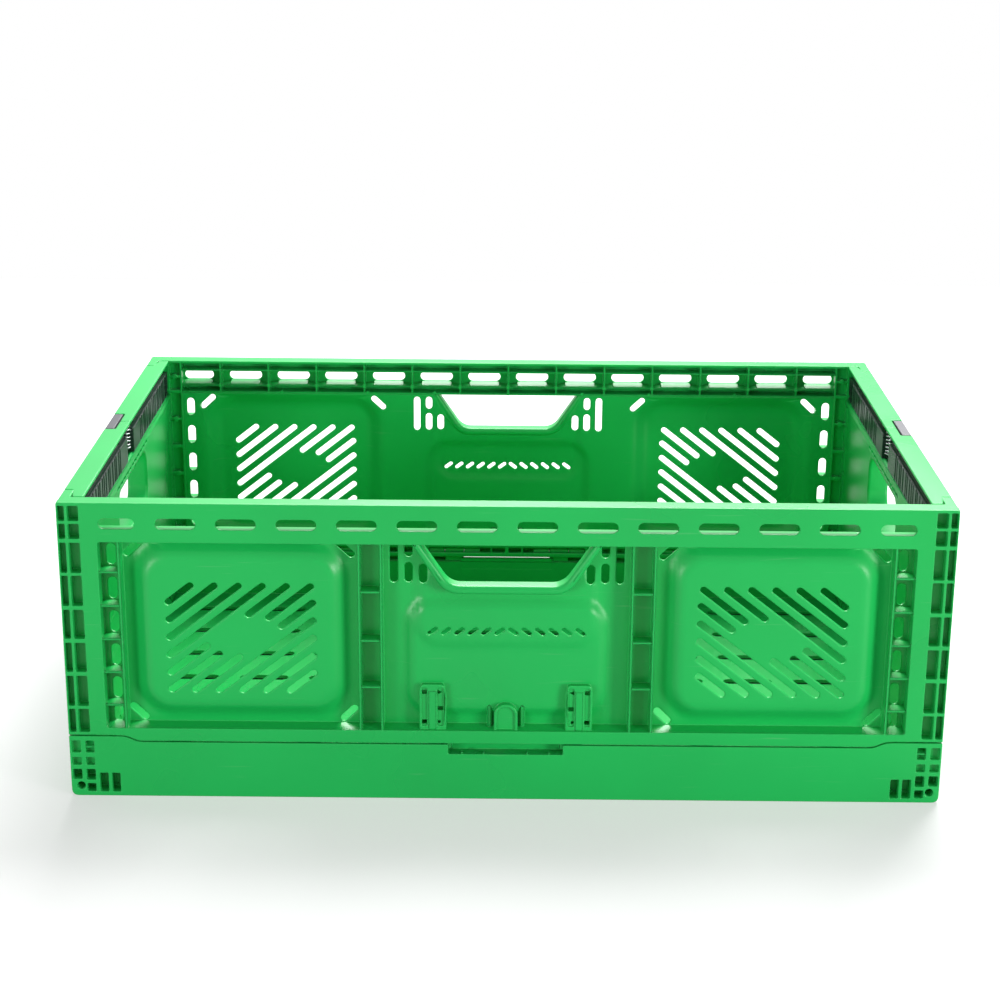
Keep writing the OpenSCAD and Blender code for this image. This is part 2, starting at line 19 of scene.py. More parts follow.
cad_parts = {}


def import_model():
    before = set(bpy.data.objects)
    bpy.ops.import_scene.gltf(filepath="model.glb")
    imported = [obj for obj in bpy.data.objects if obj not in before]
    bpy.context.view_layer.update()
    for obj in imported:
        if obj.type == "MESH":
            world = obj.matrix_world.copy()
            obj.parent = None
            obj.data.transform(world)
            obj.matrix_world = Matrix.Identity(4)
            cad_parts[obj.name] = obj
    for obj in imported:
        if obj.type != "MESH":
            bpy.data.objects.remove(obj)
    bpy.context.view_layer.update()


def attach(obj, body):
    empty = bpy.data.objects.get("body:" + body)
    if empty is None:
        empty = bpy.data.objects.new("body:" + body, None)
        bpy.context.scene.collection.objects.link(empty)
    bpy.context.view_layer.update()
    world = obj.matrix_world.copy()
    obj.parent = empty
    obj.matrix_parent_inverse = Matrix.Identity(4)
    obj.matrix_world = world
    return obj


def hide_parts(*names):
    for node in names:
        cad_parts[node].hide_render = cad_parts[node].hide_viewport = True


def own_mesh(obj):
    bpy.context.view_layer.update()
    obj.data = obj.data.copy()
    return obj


logging.basicConfig(level=logging.INFO, format="%(message)s")
LOG = logging.getLogger("crate")
Loop = np.ndarray
MM = 0.001


# ---------------------------------------------------------------- sizes

@dataclass(frozen=True)
class Sizes:
    """Main sizes of the crate, in millimetres, as in the CAD source.

    side_pin is the short wall's hinge in X and Z, long_pin the front wall's in Y and Z.
    slot_pitch and slot_drop place the slots of the rail along it and below the top.
    """

    half_l: float = 300.0
    half_w: float = 200.0
    height: float = 213.0
    skirt: float = 41.0
    corner: float = 45.0
    corner_l: float = 45.0
    seam: float = 0.6
    rail_h: float = 27.5
    web: float = 2.5
    leg_t: float = 7.6
    leg_l: float = 30.0
    side_skirt: float = 22.0
    channel: float = 184.5
    foot: float = 51.1
    side_pin: tuple[float, float] = (289.0, 11.5)
    long_pin: tuple[float, float] = (-193.0, 45.3)
    slot_pitch: float = 40.2
    slot_drop: float = 14.4

    @property
    def rail_z(self) -> float:
        """Underside of the top rail."""
        return self.height - self.rail_h


S = Sizes()


class Plane(Enum):
    """Which way the outlines of a plate lie. The third axis is the plate's thickness."""

    XZ = (0, 2, 1)
    YZ = (1, 2, 0)
    XY = (0, 1, 2)


# ---------------------------------------------------------------- outlines

def stadium(u: float, v: float, length: float, width: float, angle: float = 0.0, n: int = 6) -> Loop:
    """Outline of a slot with round ends.

    Each end is a half circle whose points turn evenly from one straight side to the other.

    Args:
        u, v: Centre of the slot.
        length, width: Overall size.
        angle: Turn from the u axis, in degrees.
        n: Steps in each half circle.

    Returns:
        Points in order, as an array of shape (2n + 2, 2).
    """
    t = np.radians(np.concatenate([np.linspace(-90, 90, n + 1), np.linspace(90, 270, n + 1)]))
    e = np.concatenate([np.full(n + 1, 1.0), np.full(n + 1, -1.0)]) * (length - width) / 2
    p = np.stack([e + width / 2 * np.cos(t), width / 2 * np.sin(t)], 1)
    a = math.radians(angle)
    return p @ np.array([[math.cos(a), math.sin(a)], [-math.sin(a), math.cos(a)]]) + (u, v)


def rect(u0: float, u1: float, v0: float, v1: float) -> Loop:
    """Rectangle with sharp corners, counter-clockwise."""
    return np.array([(u0, v0), (u1, v0), (u1, v1), (u0, v1)], float)


def span(a: float, b: float, side: int = 1) -> tuple[float, float]:
    """Limits of the stretch from a to b, low first, mirrored if side is -1."""
    low, high = sorted((a * side, b * side))
    return low, high


def rounded(u0: float, u1: float, v0: float, v1: float, r: float, n: int = 5) -> Loop:
    """Rectangle with round corners, counter-clockwise.

    Args:
        u0, u1, v0, v1: Limits of the rectangle.
        r: Radius of the corners.
        n: Steps in each corner.

    Returns:
        Points in order, as an array of shape (4n + 4, 2).
    """
    t = np.radians(np.linspace(0, 90, n + 1))
    arcs = []
    for q, (cu, cv) in enumerate(((u1 - r, v1 - r), (u0 + r, v1 - r), (u0 + r, v0 + r), (u1 - r, v0 + r))):
        a = t + q * math.pi / 2
        arcs.append(np.stack([cu + r * np.cos(a), cv + r * np.sin(a)], 1))
    return np.concatenate(arcs)


def softened(points: Sequence[tuple[float, float]] | Loop, r: float | Sequence[float], n: int = 4) -> Loop:
    """Polygon whose corners are rounded.

    Every corner is replaced by a curve that leaves one side and joins the next one evenly.

    Args:
        points: Corners in order.
        r: Distance from the corner at which the curve starts, one for all corners or one each.
        n: Steps in each corner.

    Returns:
        Points in order.
    """
    p = np.array(points, float)
    before, after = np.roll(p, 1, 0) - p, np.roll(p, -1, 0) - p
    lb, la = np.linalg.norm(before, axis=1), np.linalg.norm(after, axis=1)
    d = np.minimum(r, 0.45 * np.minimum(lb, la))[:, None]
    a, b = p + before / lb[:, None] * d, p + after / la[:, None] * d
    t = np.linspace(0, 1, n + 1)[None, :, None]
    curve = (1 - t) ** 2 * a[:, None] + 2 * t * (1 - t) * p[:, None] + t**2 * b[:, None]
    return curve.reshape(-1, 2)


def mirrored(p: Loop, on: bool = True) -> Loop:
    """The outline with its u values negated, if on."""
    return p * (-1, 1) if on else p


def signed_area(p: Loop) -> float:
    """Area of an outline, positive if it runs counter-clockwise."""
    q = np.roll(p, -1, 0)
    return float((p[:, 0] * q[:, 1] - q[:, 0] * p[:, 1]).sum() / 2)


def inset(p: Loop, d: float) -> Loop:
    """Moves every point of an outline to its left by d, along the mitre of its two sides."""
    e = np.roll(p, -1, 0) - p
    e /= np.maximum(np.linalg.norm(e, axis=1), 1e-9)[:, None]
    n = np.stack([-e[:, 1], e[:, 0]], 1)
    m = n + np.roll(n, 1, 0)
    m /= np.maximum((m * n).sum(1), 0.35)[:, None]
    return p + m * d


def inside(points: np.ndarray, loops: Sequence[Loop]) -> np.ndarray:
    """Which points lie inside an odd number of outlines, by counting crossings of a ray."""
    hit = np.zeros(len(points), bool)
    x, y = points[:, :1], points[:, 1:]
    for p in loops:
        q = np.roll(p, -1, 0)
        crosses = (p[:, 1] > y) != (q[:, 1] > y)
        dy = np.where(np.abs(q[:, 1] - p[:, 1]) < 1e-12, 1e-12, q[:, 1] - p[:, 1])
        at = p[:, 0] + (y - p[:, 1]) * (q[:, 0] - p[:, 0]) / dy
        hit ^= ((crosses & (x < at)).sum(1) % 2).astype(bool)
    return hit


def clear_of(points: np.ndarray, loops: Sequence[Loop], gap: float) -> np.ndarray:
    """Which points lie at least gap away from every side of the outlines."""
    far = np.ones(len(points), bool)
    for p in loops:
        q = np.roll(p, -1, 0) - p
        w = points[:, None] - p[None]
        t = np.clip((w * q).sum(2) / np.maximum((q * q).sum(1), 1e-12), 0, 1)
        far &= np.linalg.norm(w - t[..., None] * q, axis=2).min(1) > gap
    return far


# ---------------------------------------------------------------- meshes

@dataclass
class Shells:
    """Closed shells in millimetres, gathered into one mesh."""

    points: list[np.ndarray] = field(default_factory=list)
    tris: list[np.ndarray] = field(default_factory=list)
    quads: list[np.ndarray] = field(default_factory=list)
    count: int = 0

    def skin(self) -> float:
        """A small inset, different for each shell, so that no two faces share a plane."""
        return 0.01 + 0.05 * ((0.618 * len(self.points)) % 1.0)

    def add(self, pts: np.ndarray, tris: np.ndarray | None = None, quads: np.ndarray | None = None) -> None:
        """Adds one closed shell, turned so that its faces look outward.

        The signed volume is the sum over all triangles of a . (b x c) / 6. If it is negative,
        every face is reversed.

        Args:
            pts: Points, shape (n, 3).
            tris: Triangles as point numbers, shape (m, 3).
            quads: Quads as point numbers, shape (k, 4).
        """
        t = np.zeros((0, 3), int) if tris is None else np.asarray(tris, int)
        q = np.zeros((0, 4), int) if quads is None else np.asarray(quads, int)
        every = np.concatenate([t, q[:, [0, 1, 2]], q[:, [0, 2, 3]]])
        a, b, c = pts[every[:, 0]], pts[every[:, 1]], pts[every[:, 2]]
        if np.einsum("ij,ij->i", a, np.cross(b, c)).sum() < 0:
            t, q = t[:, ::-1], q[:, ::-1]
        self.points.append(pts)
        self.tris.append(t + self.count)
        self.quads.append(q + self.count)
        self.count += len(pts)

    def extend(self, other: Shells, flip: tuple[int, int, int] = (1, 1, 1)) -> None:
        """Adds the shells of another set, mirrored along the axes whose flip is -1."""
        turn = int(np.prod(flip)) < 0
        for p, t, q in zip(other.points, other.tris, other.quads, strict=True):
            self.points.append(p * flip)
            self.tris.append((t[:, ::-1] if turn else t) + self.count)
            self.quads.append((q[:, ::-1] if turn else q) + self.count)
        self.count += other.count

    def build(self, name: str, material: bpy.types.Material, sharp: float = 38.0) -> bpy.types.Object:
        """Writes the shells as one mesh object at the origin, with its place in its points."""
        pts = np.concatenate(self.points) * MM
        tris, quads = np.concatenate(self.tris), np.concatenate(self.quads)
        loops = np.concatenate([tris.ravel(), quads.ravel()]).astype(np.int32)
        starts = np.concatenate([np.arange(len(tris)) * 3, len(tris) * 3 + np.arange(len(quads)) * 4])
        mesh = bpy.data.meshes.new(name)
        mesh.vertices.add(len(pts))
        mesh.vertices.foreach_set("co", pts.astype(np.float32).ravel())
        mesh.loops.add(len(loops))
        mesh.loops.foreach_set("vertex_index", loops)
        mesh.polygons.add(len(starts))
        mesh.polygons.foreach_set("loop_start", starts.astype(np.int32))
        mesh.update(calc_edges=True)
        mesh.validate()
        mesh.shade_smooth()
        mesh.set_sharp_from_angle(angle=math.radians(sharp))
        mesh.materials.append(material)
        made = bpy.data.objects.new(name, mesh)
        bpy.context.scene.collection.objects.link(made)
        weighted = made.modifiers.new("weighted", "WEIGHTED_NORMAL")
        weighted.keep_sharp = True
        LOG.info("%s: %d points, %d faces", name, len(pts), len(starts))
        return made


def place(uv: np.ndarray, w: np.ndarray, plane: Plane) -> np.ndarray:
    """Points in space from points in a plane and their height along its normal."""
    out = np.empty((len(uv), 3))
    iu, iv, iw = plane.value
    out[:, iu], out[:, iv], out[:, iw] = uv[:, 0], uv[:, 1], w
    return out


def plate(
    shells: Shells,
    loops: Sequence[Loop],
    low: float,
    high: float,
    r: float = 0.5,
    plane: Plane = Plane.XZ,
    lift: Callable[[np.ndarray], np.ndarray] | None = None,
    grid: float = 0.0,
    steps: int = 3,
) -> None:
    """Adds a plate with holes, whose edges are rounded.

    Round each outline runs a profile: a quarter circle of radius r from the low face to the
    wall, and another from the wall to the high face. A point at angle a of a quarter circle is
    set in by r (1 - sin a) and lies r (1 - cos a) from its face. Both faces are one flat
    triangulation of the innermost rings and of a grid of points, and lift adds a height to all.

    Args:
        shells: Where the plate goes.
        loops: The outside first, then the holes.
        low, high: Limits of the thickness.
        r: Radius of the edges.
        plane: How the outlines lie.
        lift: Height added at points of the plane, or None.
        grid: Spacing of extra points in the faces, or 0.
        steps: Steps in each quarter circle.
    """
    e = shells.skin()
    low, high = low + e, high - e
    r = min(r, 0.49 * (high - low))
    turned = [inset(p if (signed_area(p) > 0) == (i == 0) else p[::-1], e) for i, p in enumerate(loops)]
    a = np.linspace(0, math.pi / 2, steps + 1)
    ins = np.concatenate([r * (1 - np.sin(a)), r * (1 - np.sin(a[::-1]))])
    hgt = np.concatenate([low + r * (1 - np.cos(a)), high - r * (1 - np.cos(a[::-1]))])
    rows = len(ins)
    rim = [inset(p, r) for p in turned]
    flat = np.concatenate(rim)
    n_rim = len(flat)
    extra = np.zeros((0, 2))
    if grid > 0:
        lo, hi = flat.min(0) + grid / 2, flat.max(0) - grid / 2
        gu, gv = np.meshgrid(np.arange(lo[0], hi[0], grid), np.arange(lo[1], hi[1], grid))
        extra = np.stack([gu.ravel(), gv.ravel()], 1)
        extra = extra[inside(extra, rim)]
        extra = extra[clear_of(extra, rim, grid * 0.3)]
    start, edges = 0, []
    for p in rim:
        k = np.arange(len(p))
        edges.append(np.stack([start + k, start + (k + 1) % len(p)], 1))
        start += len(p)
    every = np.concatenate([flat, extra])
    verts, _, faces, origin, _, _ = delaunay_2d_cdt(
        [Vector(p) for p in every.tolist()], np.concatenate(edges).tolist(), [], 0, 1e-5
    )
    back = np.array([o[0] if o else -1 for o in origin])
    tri = back[np.array([f for f in faces if len(f) == 3], int)]
    tri = tri[(tri >= 0).all(1)]
    tri = tri[inside(every[tri].mean(1), rim)]
    # all rings of all outlines, row by row, then the grid points of both faces
    ring_uv = np.concatenate([np.concatenate([inset(p, d) for p in turned]) for d in ins])
    ring_w = np.repeat(hgt, n_rim)
    n_ring = rows * n_rim
    uv = np.concatenate([ring_uv, extra, extra])
    w = np.concatenate([ring_w, np.full(len(extra), low), np.full(len(extra), high)])
    if lift is not None:
        w = w + lift(uv)
    nxt = np.concatenate(edges)[:, 1]
    k = np.arange(n_rim)
    quads = np.concatenate([
        np.stack([j * n_rim + k, j * n_rim + nxt, (j + 1) * n_rim + nxt, (j + 1) * n_rim + k], 1)
        for j in range(rows - 1)
    ])
    bottom = np.where(tri < n_rim, tri, n_ring + tri - n_rim)
    top = np.where(tri < n_rim, tri + (rows - 1) * n_rim, n_ring + len(extra) + tri - n_rim)
    # the walls run low to high with the material on the left, so the high face keeps its turn
    e = every[tri]
    turn = np.cross(e[:, 1] - e[:, 0], e[:, 2] - e[:, 0]) > 0
    top = np.where(turn[:, None], top, top[:, ::-1])
    bottom = np.where(turn[:, None], bottom[:, ::-1], bottom)
    shells.add(place(uv, w, plane), np.concatenate([top, bottom]), quads)


def block(
    shells: Shells,
    x: tuple[float, float],
    y: tuple[float, float],
    z: tuple[float, float],
    c: float = 0.35,
) -> None:
    """Adds a box with chamfered edges.

    Each corner becomes three points, each set in by c along the two axes that its face spans.

    Args:
        shells: Where the box goes.
        x, y, z: Limits.
        c: Size of the chamfer.
    """
    e = shells.skin()
    lo, hi = np.array([x[0], y[0], z[0]], float) + e, np.array([x[1], y[1], z[1]], float) - e
    c = min(c, 0.45 * float((hi - lo).min()))
    s = np.array([(i, j, k) for i in (0, 1) for j in (0, 1) for k in (0, 1)], float)
    corner = lo + s * (hi - lo)
    step = (1 - 2 * s) * c
    pts = np.concatenate([corner + step * (np.arange(3) != axis) for axis in range(3)])
    idx = {tuple(int(v) for v in q): n for n, q in enumerate(s)}
    quads, tris = [], []
    for axis in range(3):
        b, d = [a for a in range(3) if a != axis]
        for side in (0, 1):
            ring = []
            for p, q in ((0, 0), (1, 0), (1, 1), (0, 1)):
                key = [0, 0, 0]
                key[axis], key[b], key[d] = side, p, q
                ring.append(axis * 8 + idx[tuple(key)])
            quads.append(ring if (side == 1) == (axis != 1) else ring[::-1])
    for axis in range(3):  # one chamfer along each edge that runs this way
        b, d = [a for a in range(3) if a != axis]
        for p in (0, 1):
            for q in (0, 1):
                k0, k1 = [0, 0, 0], [0, 0, 0]
                k0[b], k0[d], k1[b], k1[d], k1[axis] = p, q, p, q, 1
                i0, i1 = idx[tuple(k0)], idx[tuple(k1)]
                ring = [b * 8 + i0, b * 8 + i1, d * 8 + i1, d * 8 + i0]
                same = (p == q) == (axis != 1)
                quads.append(ring if same else ring[::-1])
    for n, q in enumerate(s):
        ring = [n, 8 + n, 16 + n]
        tris.append(ring if int(q.sum()) % 2 == 1 else ring[::-1])
    shells.add(pts, np.array(tris), np.array(quads))


def prism(shells: Shells, outline: Loop, low: float, high: float, plane: Plane, r: float = 0.4) -> None:
    """Adds a solid of one outline, a plate with no holes."""
    plate(shells, [outline], low, high, r, plane, steps=2)


def tube(shells: Shells, path: np.ndarray, radius: float, n: int = 10) -> None:
    """Adds a round wire along a path, with flat ends.

    At each point of the path, a circle lies square to the path's direction. Its first axis is
    the part of a fixed side direction that is square to the path.

    Args:
        shells: Where the wire goes.
        path: Points along the middle, shape (m, 3).
        radius: Radius of the wire.
        n: Points round the wire.
    """
    t = np.gradient(path, axis=0)
    t /= np.linalg.norm(t, axis=1)[:, None]
    side = np.array([0.13, 0.21, 0.97])
    a = side - (t @ side)[:, None] * t
    a /= np.linalg.norm(a, axis=1)[:, None]
    b = np.cross(t, a)
    phi = np.linspace(0, 2 * math.pi, n, endpoint=False)
    cos, sin = np.cos(phi)[None, :, None], np.sin(phi)[None, :, None]
    ring = path[:, None] + radius * (cos * a[:, None] + sin * b[:, None])
    m = len(path)
    pts = np.concatenate([ring.reshape(-1, 3), path[:1], path[-1:]])
    i, k = np.meshgrid(np.arange(m - 1), np.arange(n), indexing="ij")
    j = (k + 1) % n
    quads = np.stack([i * n + k, i * n + j, (i + 1) * n + j, (i + 1) * n + k], -1).reshape(-1, 4)
    k = np.arange(n)
    j = (k + 1) % n
    ends = np.concatenate([
        np.stack([np.full(n, m * n), j, k], 1),
        np.stack([np.full(n, m * n + 1), (m - 1) * n + k, (m - 1) * n + j], 1),
    ])
    shells.add(pts, ends, quads)


def boss(shells: Shells, u: float, v: float, r: float, low: float, high: float, plane: Plane) -> None:
    """Adds a small round boss, such as an ejector pin leaves."""
    prism(shells, circle(u, v, r, 14), low, high, plane, 0.25)


# ---------------------------------------------------------------- finishes

def add_node(
    tree: bpy.types.NodeTree, kind: str, values: dict[str | int, object] | None = None, **settings: object
) -> bpy.types.Node:
    """Adds a shader node.

    Args:
        tree: Where it goes.
        kind: Its type, without the prefix that all shader nodes share.
        values: Values of its inputs, by name or number.
        settings: Its own settings, such as operation.

    Returns:
        The node.
    """
    made = tree.nodes.new("ShaderNode" + kind)
    for key, value in settings.items():
        setattr(made, key, value)
    for key, value in (values or {}).items():
        made.inputs[key].default_value = value
    return made


@dataclass(frozen=True)
class Finish:
    """A moulded or metal surface."""

    name: str
    colour: tuple[float, float, float]
    rough: float
    metallic: float = 0.0
    coat: float = 0.0
    glow: float = 0.0
    shine: float = 0.5
    vary: float = 0.06
    scratch: float = 0.05
    # edge: strength of the painted highlight that lightens the colour along edges
    edge: float = 0.35

    def material(self) -> bpy.types.Material:
        """Builds the node material.

        Large soft noise shifts the colour and the roughness a little, long thin noise adds
        faint scratches, and a rounded normal softens edges and the joins of ribs. The colour
        is a touch lighter where the rounded normal leaves the flat one, a painted highlight along the edges.

        Returns:
            The material, on Object coordinates.
        """
        mat = bpy.data.materials.new(self.name)
        mat.use_nodes = True
        nt = mat.node_tree
        nt.nodes.clear()
        link = nt.links.new
        out = add_node(nt, "OutputMaterial")
        bsdf = add_node(nt, "BsdfPrincipled", {
            "Metallic": self.metallic, "Coat Weight": self.coat, "Coat Roughness": 0.12, "IOR": 1.49,
            "Specular IOR Level": self.shine})
        co = add_node(nt, "TexCoord")
        broad = add_node(nt, "TexNoise", {"Scale": 7.0, "Detail": 3.0})
        fine = add_node(nt, "TexNoise", {"Scale": 900.0, "Detail": 2.0})
        stretch = add_node(nt, "Mapping", {"Scale": (22.0, 22.0, 420.0), "Rotation": (0.4, 0.9, 0.2)})
        for textured in (broad, fine, stretch):
            link(co.outputs["Object"], textured.inputs["Vector"])
        lines = add_node(nt, "TexNoise", {"Scale": 1.0, "Detail": 2.0})
        link(stretch.outputs["Vector"], lines.inputs["Vector"])
        marks = add_node(nt, "MapRange", {"From Min": 0.68, "From Max": 0.80})
        link(lines.outputs["Fac"], marks.inputs["Value"])

        # colour: broad shifts, then painted highlights on the edges, then scratches
        middle = {"From Min": 0.3, "From Max": 0.7}
        tone = add_node(nt, "MapRange", {**middle, "To Min": 1.0 - self.vary, "To Max": 1.0 + self.vary})
        link(broad.outputs["Fac"], tone.inputs["Value"])
        base = add_node(nt, "VectorMath", {0: self.colour}, operation="SCALE")
        link(tone.outputs["Result"], base.inputs["Scale"])
        soft = add_node(nt, "Bevel", {"Radius": 0.0009}, samples=4)
        geo = add_node(nt, "NewGeometry")
        dot = add_node(nt, "VectorMath", operation="DOT_PRODUCT")
        link(soft.outputs["Normal"], dot.inputs[0])
        link(geo.outputs["Normal"], dot.inputs[1])
        # painted highlight: the colour turns paler where the rounded normal leaves the flat one
        edge_highlight = add_node(nt, "MapRange", {"From Min": 0.995, "From Max": 0.90, "To Max": self.edge})
        link(dot.outputs["Value"], edge_highlight.inputs["Value"])
        highlight_colour = (*(min(1.0, c * 1.35 + 0.05) for c in self.colour), 1.0)
        highlighted = add_node(nt, "Mix", {"B": highlight_colour}, data_type="RGBA")
        link(edge_highlight.outputs["Result"], highlighted.inputs["Factor"])
        link(base.outputs["Vector"], highlighted.inputs["A"])
        scraped = add_node(nt, "Mix", {"B": (0.75, 0.8, 0.75, 1.0)}, data_type="RGBA")
        amount = add_node(nt, "Math", {1: self.scratch}, operation="MULTIPLY")
        link(marks.outputs["Result"], amount.inputs[0])
        link(amount.outputs["Value"], scraped.inputs["Factor"])
        link(highlighted.outputs["Result"], scraped.inputs["A"])
        link(scraped.outputs["Result"], bsdf.inputs["Base Color"])

        rough = add_node(nt, "MapRange", {
            **middle, "To Min": max(0.05, self.rough - 0.07), "To Max": self.rough + 0.08})
        link(broad.outputs["Fac"], rough.inputs["Value"])
        link(rough.outputs["Result"], bsdf.inputs["Roughness"])
        bump = add_node(nt, "Bump", {"Strength": 0.06, "Distance": 0.0004})
        link(fine.outputs["Fac"], bump.inputs["Height"])
        link(soft.outputs["Normal"], bump.inputs["Normal"])
        link(bump.outputs["Normal"], bsdf.inputs["Normal"])
        shader = bsdf.outputs["BSDF"]
        if self.glow > 0:  # a little light passes through the wall
            through, both = add_node(nt, "BsdfTranslucent"), add_node(nt, "MixShader", {"Fac": self.glow})
            link(scraped.outputs["Result"], through.inputs["Color"])
            link(shader, both.inputs[1])
            link(through.outputs["BSDF"], both.inputs[2])
            shader = both.outputs["Shader"]
        link(shader, out.inputs["Surface"])
        mat.diffuse_color = (*self.colour, 1.0)
        return mat


GREEN = Finish("green_plastic", (0.010, 0.440, 0.085), 0.30, glow=0.05, shine=0.3)
BLACK = Finish("black_plastic", (0.018, 0.034, 0.030), 0.30, vary=0.25, scratch=0.12, edge=0.4)
GREY = Finish("grey_plastic", (0.070, 0.070, 0.082), 0.45, shine=0.3, vary=0.05)
STEEL = Finish("spring_steel", (0.55, 0.56, 0.58), 0.28, metallic=1.0, edge=0.1)


# ---------------------------------------------------------------- long walls

# pockets of a post, from the seam up: the lower and upper end of each
POST_ROWS = ((47.7, 64.8), (67.1, 89.2), (92.2, 113.3), (116.3, 137.2), (140.1, 161.6), (163.7, 185.0),
             (187.8, 198.3), (200.4, 210.9))


def circle(u: float, v: float, r: float, n: int = 24) -> Loop:
    """Outline of a circle."""
    t = np.linspace(0, 2 * math.pi, n, endpoint=False)
    return np.stack([u + r * np.cos(t), v + r * np.sin(t)], 1)


def rows(u0: float, u1: float, r: float = 0.9, spans: Sequence[tuple[float, float]] = POST_ROWS) -> list[Loop]:
    """One column of pockets, a rounded rectangle for each span."""
    return [rounded(u0, u1, a, b, r, 3) for a, b in spans]


@dataclass(frozen=True)
class LongWall:
    """The front wall. The back wall is its mirror image."""

    s: Sizes = S
    panel_x: float = 180.0
    lad_x: float = 266.75
    div_x: float = 92.0
    bulge: float = 8.0
    post: float = 273.5
    slot_angle: float = 38.2

    def lift(self, uv: np.ndarray) -> np.ndarray:
        """How far the sheet stands out towards -Y, as a height along +Y.

        Each bulge is flat inside a rounded rectangle and fades out over a band round it,
        as 1 - t^2 (3 - 2 t) of the distance t across the band.

        Args:
            uv: Points in X and Z.

        Returns:
            Heights, zero or negative.
        """
        x, z = uv[:, 0], uv[:, 1]

        def pad(
            cx: float, cz: float, hx: float, hz: float, r: float, band: float, depth: float
        ) -> np.ndarray:
            qx, qz = np.abs(x - cx) - hx + r, np.abs(z - cz) - hz + r
            d = np.hypot(np.maximum(qx, 0), np.maximum(qz, 0)) + np.minimum(np.maximum(qx, qz), 0) - r
            t = np.clip(d / band, 0, 1)
            return depth * (1 - t * t * (3 - 2 * t))

        out = sum(pad(c, 121.0, 61.0, 51.5, 13, 14.0, self.bulge) for c in (-self.panel_x, self.panel_x))
        out = out + pad(0, 102.0, 63.0, 36.5, 12, 7.5, 4.2)
        out = out + pad(0, 139.0, 57.0, 24.0, 12, 6.0, 1.9)
        return -out

    def diagonals(self) -> list[Loop]:
        """Diagonal slots of the left panel, measured from the middle of the panel."""
        angle = math.radians(self.slot_angle)
        slope = math.tan(angle)
        left, right, low, top = -48.5, 49.0, 78.5, self.s.height - 59
        made = []
        for k in range(11):
            z0 = top - 12 - 12.75 * k
            x0 = max(left, left + (low - z0) / slope)
            x1 = min(right, left + (top - z0) / slope)
            g, h = 2 + 11 * (k - 5), 17 - 2.5 * abs(k - 5)
            runs = [(x0, g - h), (g + h, x1)] if abs(k - 5) <= 1 else [(x0, x1)]
            for a, b in runs:
                mid = (a + b) / 2
                z = z0 + slope * (mid - left)
                made.append(stadium(mid, z, (b - a) / math.cos(angle) + 4.6, 4.8, self.slot_angle))
        return made

    def hold_band(self) -> Loop:
        """The lip round the handhold, as one band that is open at the rail."""
        top, low = self.s.rail_z + 1.2, self.s.rail_z - 29.4

        def run(g: float, r: float) -> Loop:
            wide, narrow, foot = 59 + g, 38 + 0.55 * g, low - 0.98 * g
            corners = [(-wide, top + 12), (-wide, top), (-narrow, foot), (narrow, foot), (wide, top),
                       (wide, top + 12)]
            p = softened(corners, [0.5, 0.5, r, r, 0.5, 0.5], 9)
            keep = p[p[:, 1] < top + 0.3]
            return keep[np.argsort(keep[:, 0], kind="stable")]

        return np.concatenate([run(6.0, 10.0), run(0.0, 7.5)[::-1]])

    def sheet(self, out: Shells) -> None:
        """The inner sheet with its bulges, slots and handhold."""
        s, hl, x = self.s, self.s.half_l, self.post + 0.3
        wz, wc, top = s.skirt + s.seam, s.corner + s.seam, s.rail_z + 0.5
        outer = np.array([
            (-x, wc), (-hl + 41, wc), (-hl + 45, wz), (hl - 45, wz), (hl - 41, wc), (x, wc), (x, top),
            (62.0, top), (40.5, top - 32.6), (-40.5, top - 32.6), (-62.0, top), (-x, top)], float)
        holes: list[Loop] = []
        zr = s.rail_z
        for m in (False, True):
            holes += [mirrored(p + (-self.panel_x, 0), m) for p in self.diagonals()]
            holes += [mirrored(stadium(*q), m) for q in (
                (-252.2, zr - 7.4, 16, 5.0, 43), (-108.8, zr - 7.4, 15, 5.0, -43),
                (-252.4, 58.8, 16, 5.0, -45), (-107.8, 58.6, 15, 5.0, 45),
                (-76.4, zr - 16.5, 29, 5.4, 90), (-66.4, zr - 7.2, 10.5, 5.4, 90),
                (-66.4, zr - 23.4, 14.5, 5.4, 90), (-56.6, zr - 24.0, 13.5, 5.4, 90))]
            holes += [mirrored(stadium(-self.lad_x, z, h, 6.2, 90), m) for z, h in (
                (173.5, 15), (149.3, 15.5), (125, 15.5), (100.8, 15.5), (76.6, 15.5), (57.4, 12))]
            holes += [mirrored(stadium(-(4.6 + 9.1 * i), 122, 8, 3.0, 37, 4), m) for i in range(6)]
            # groove along the foot of the wall, where the hinges show between short ribs
            holes += [mirrored(rounded(a, b, 45.4, 49.9, 0.8, 2), m) for a, b in (
                (1.6, 12.4), (14.0, 67.2), (69, 89), (91, 111), (113, 157), (159, 179), (181, 201), (203, 247))]
        plate(out, [outer, *holes], -186 - s.web, -186, 0.8, lift=self.lift, grid=3.2)

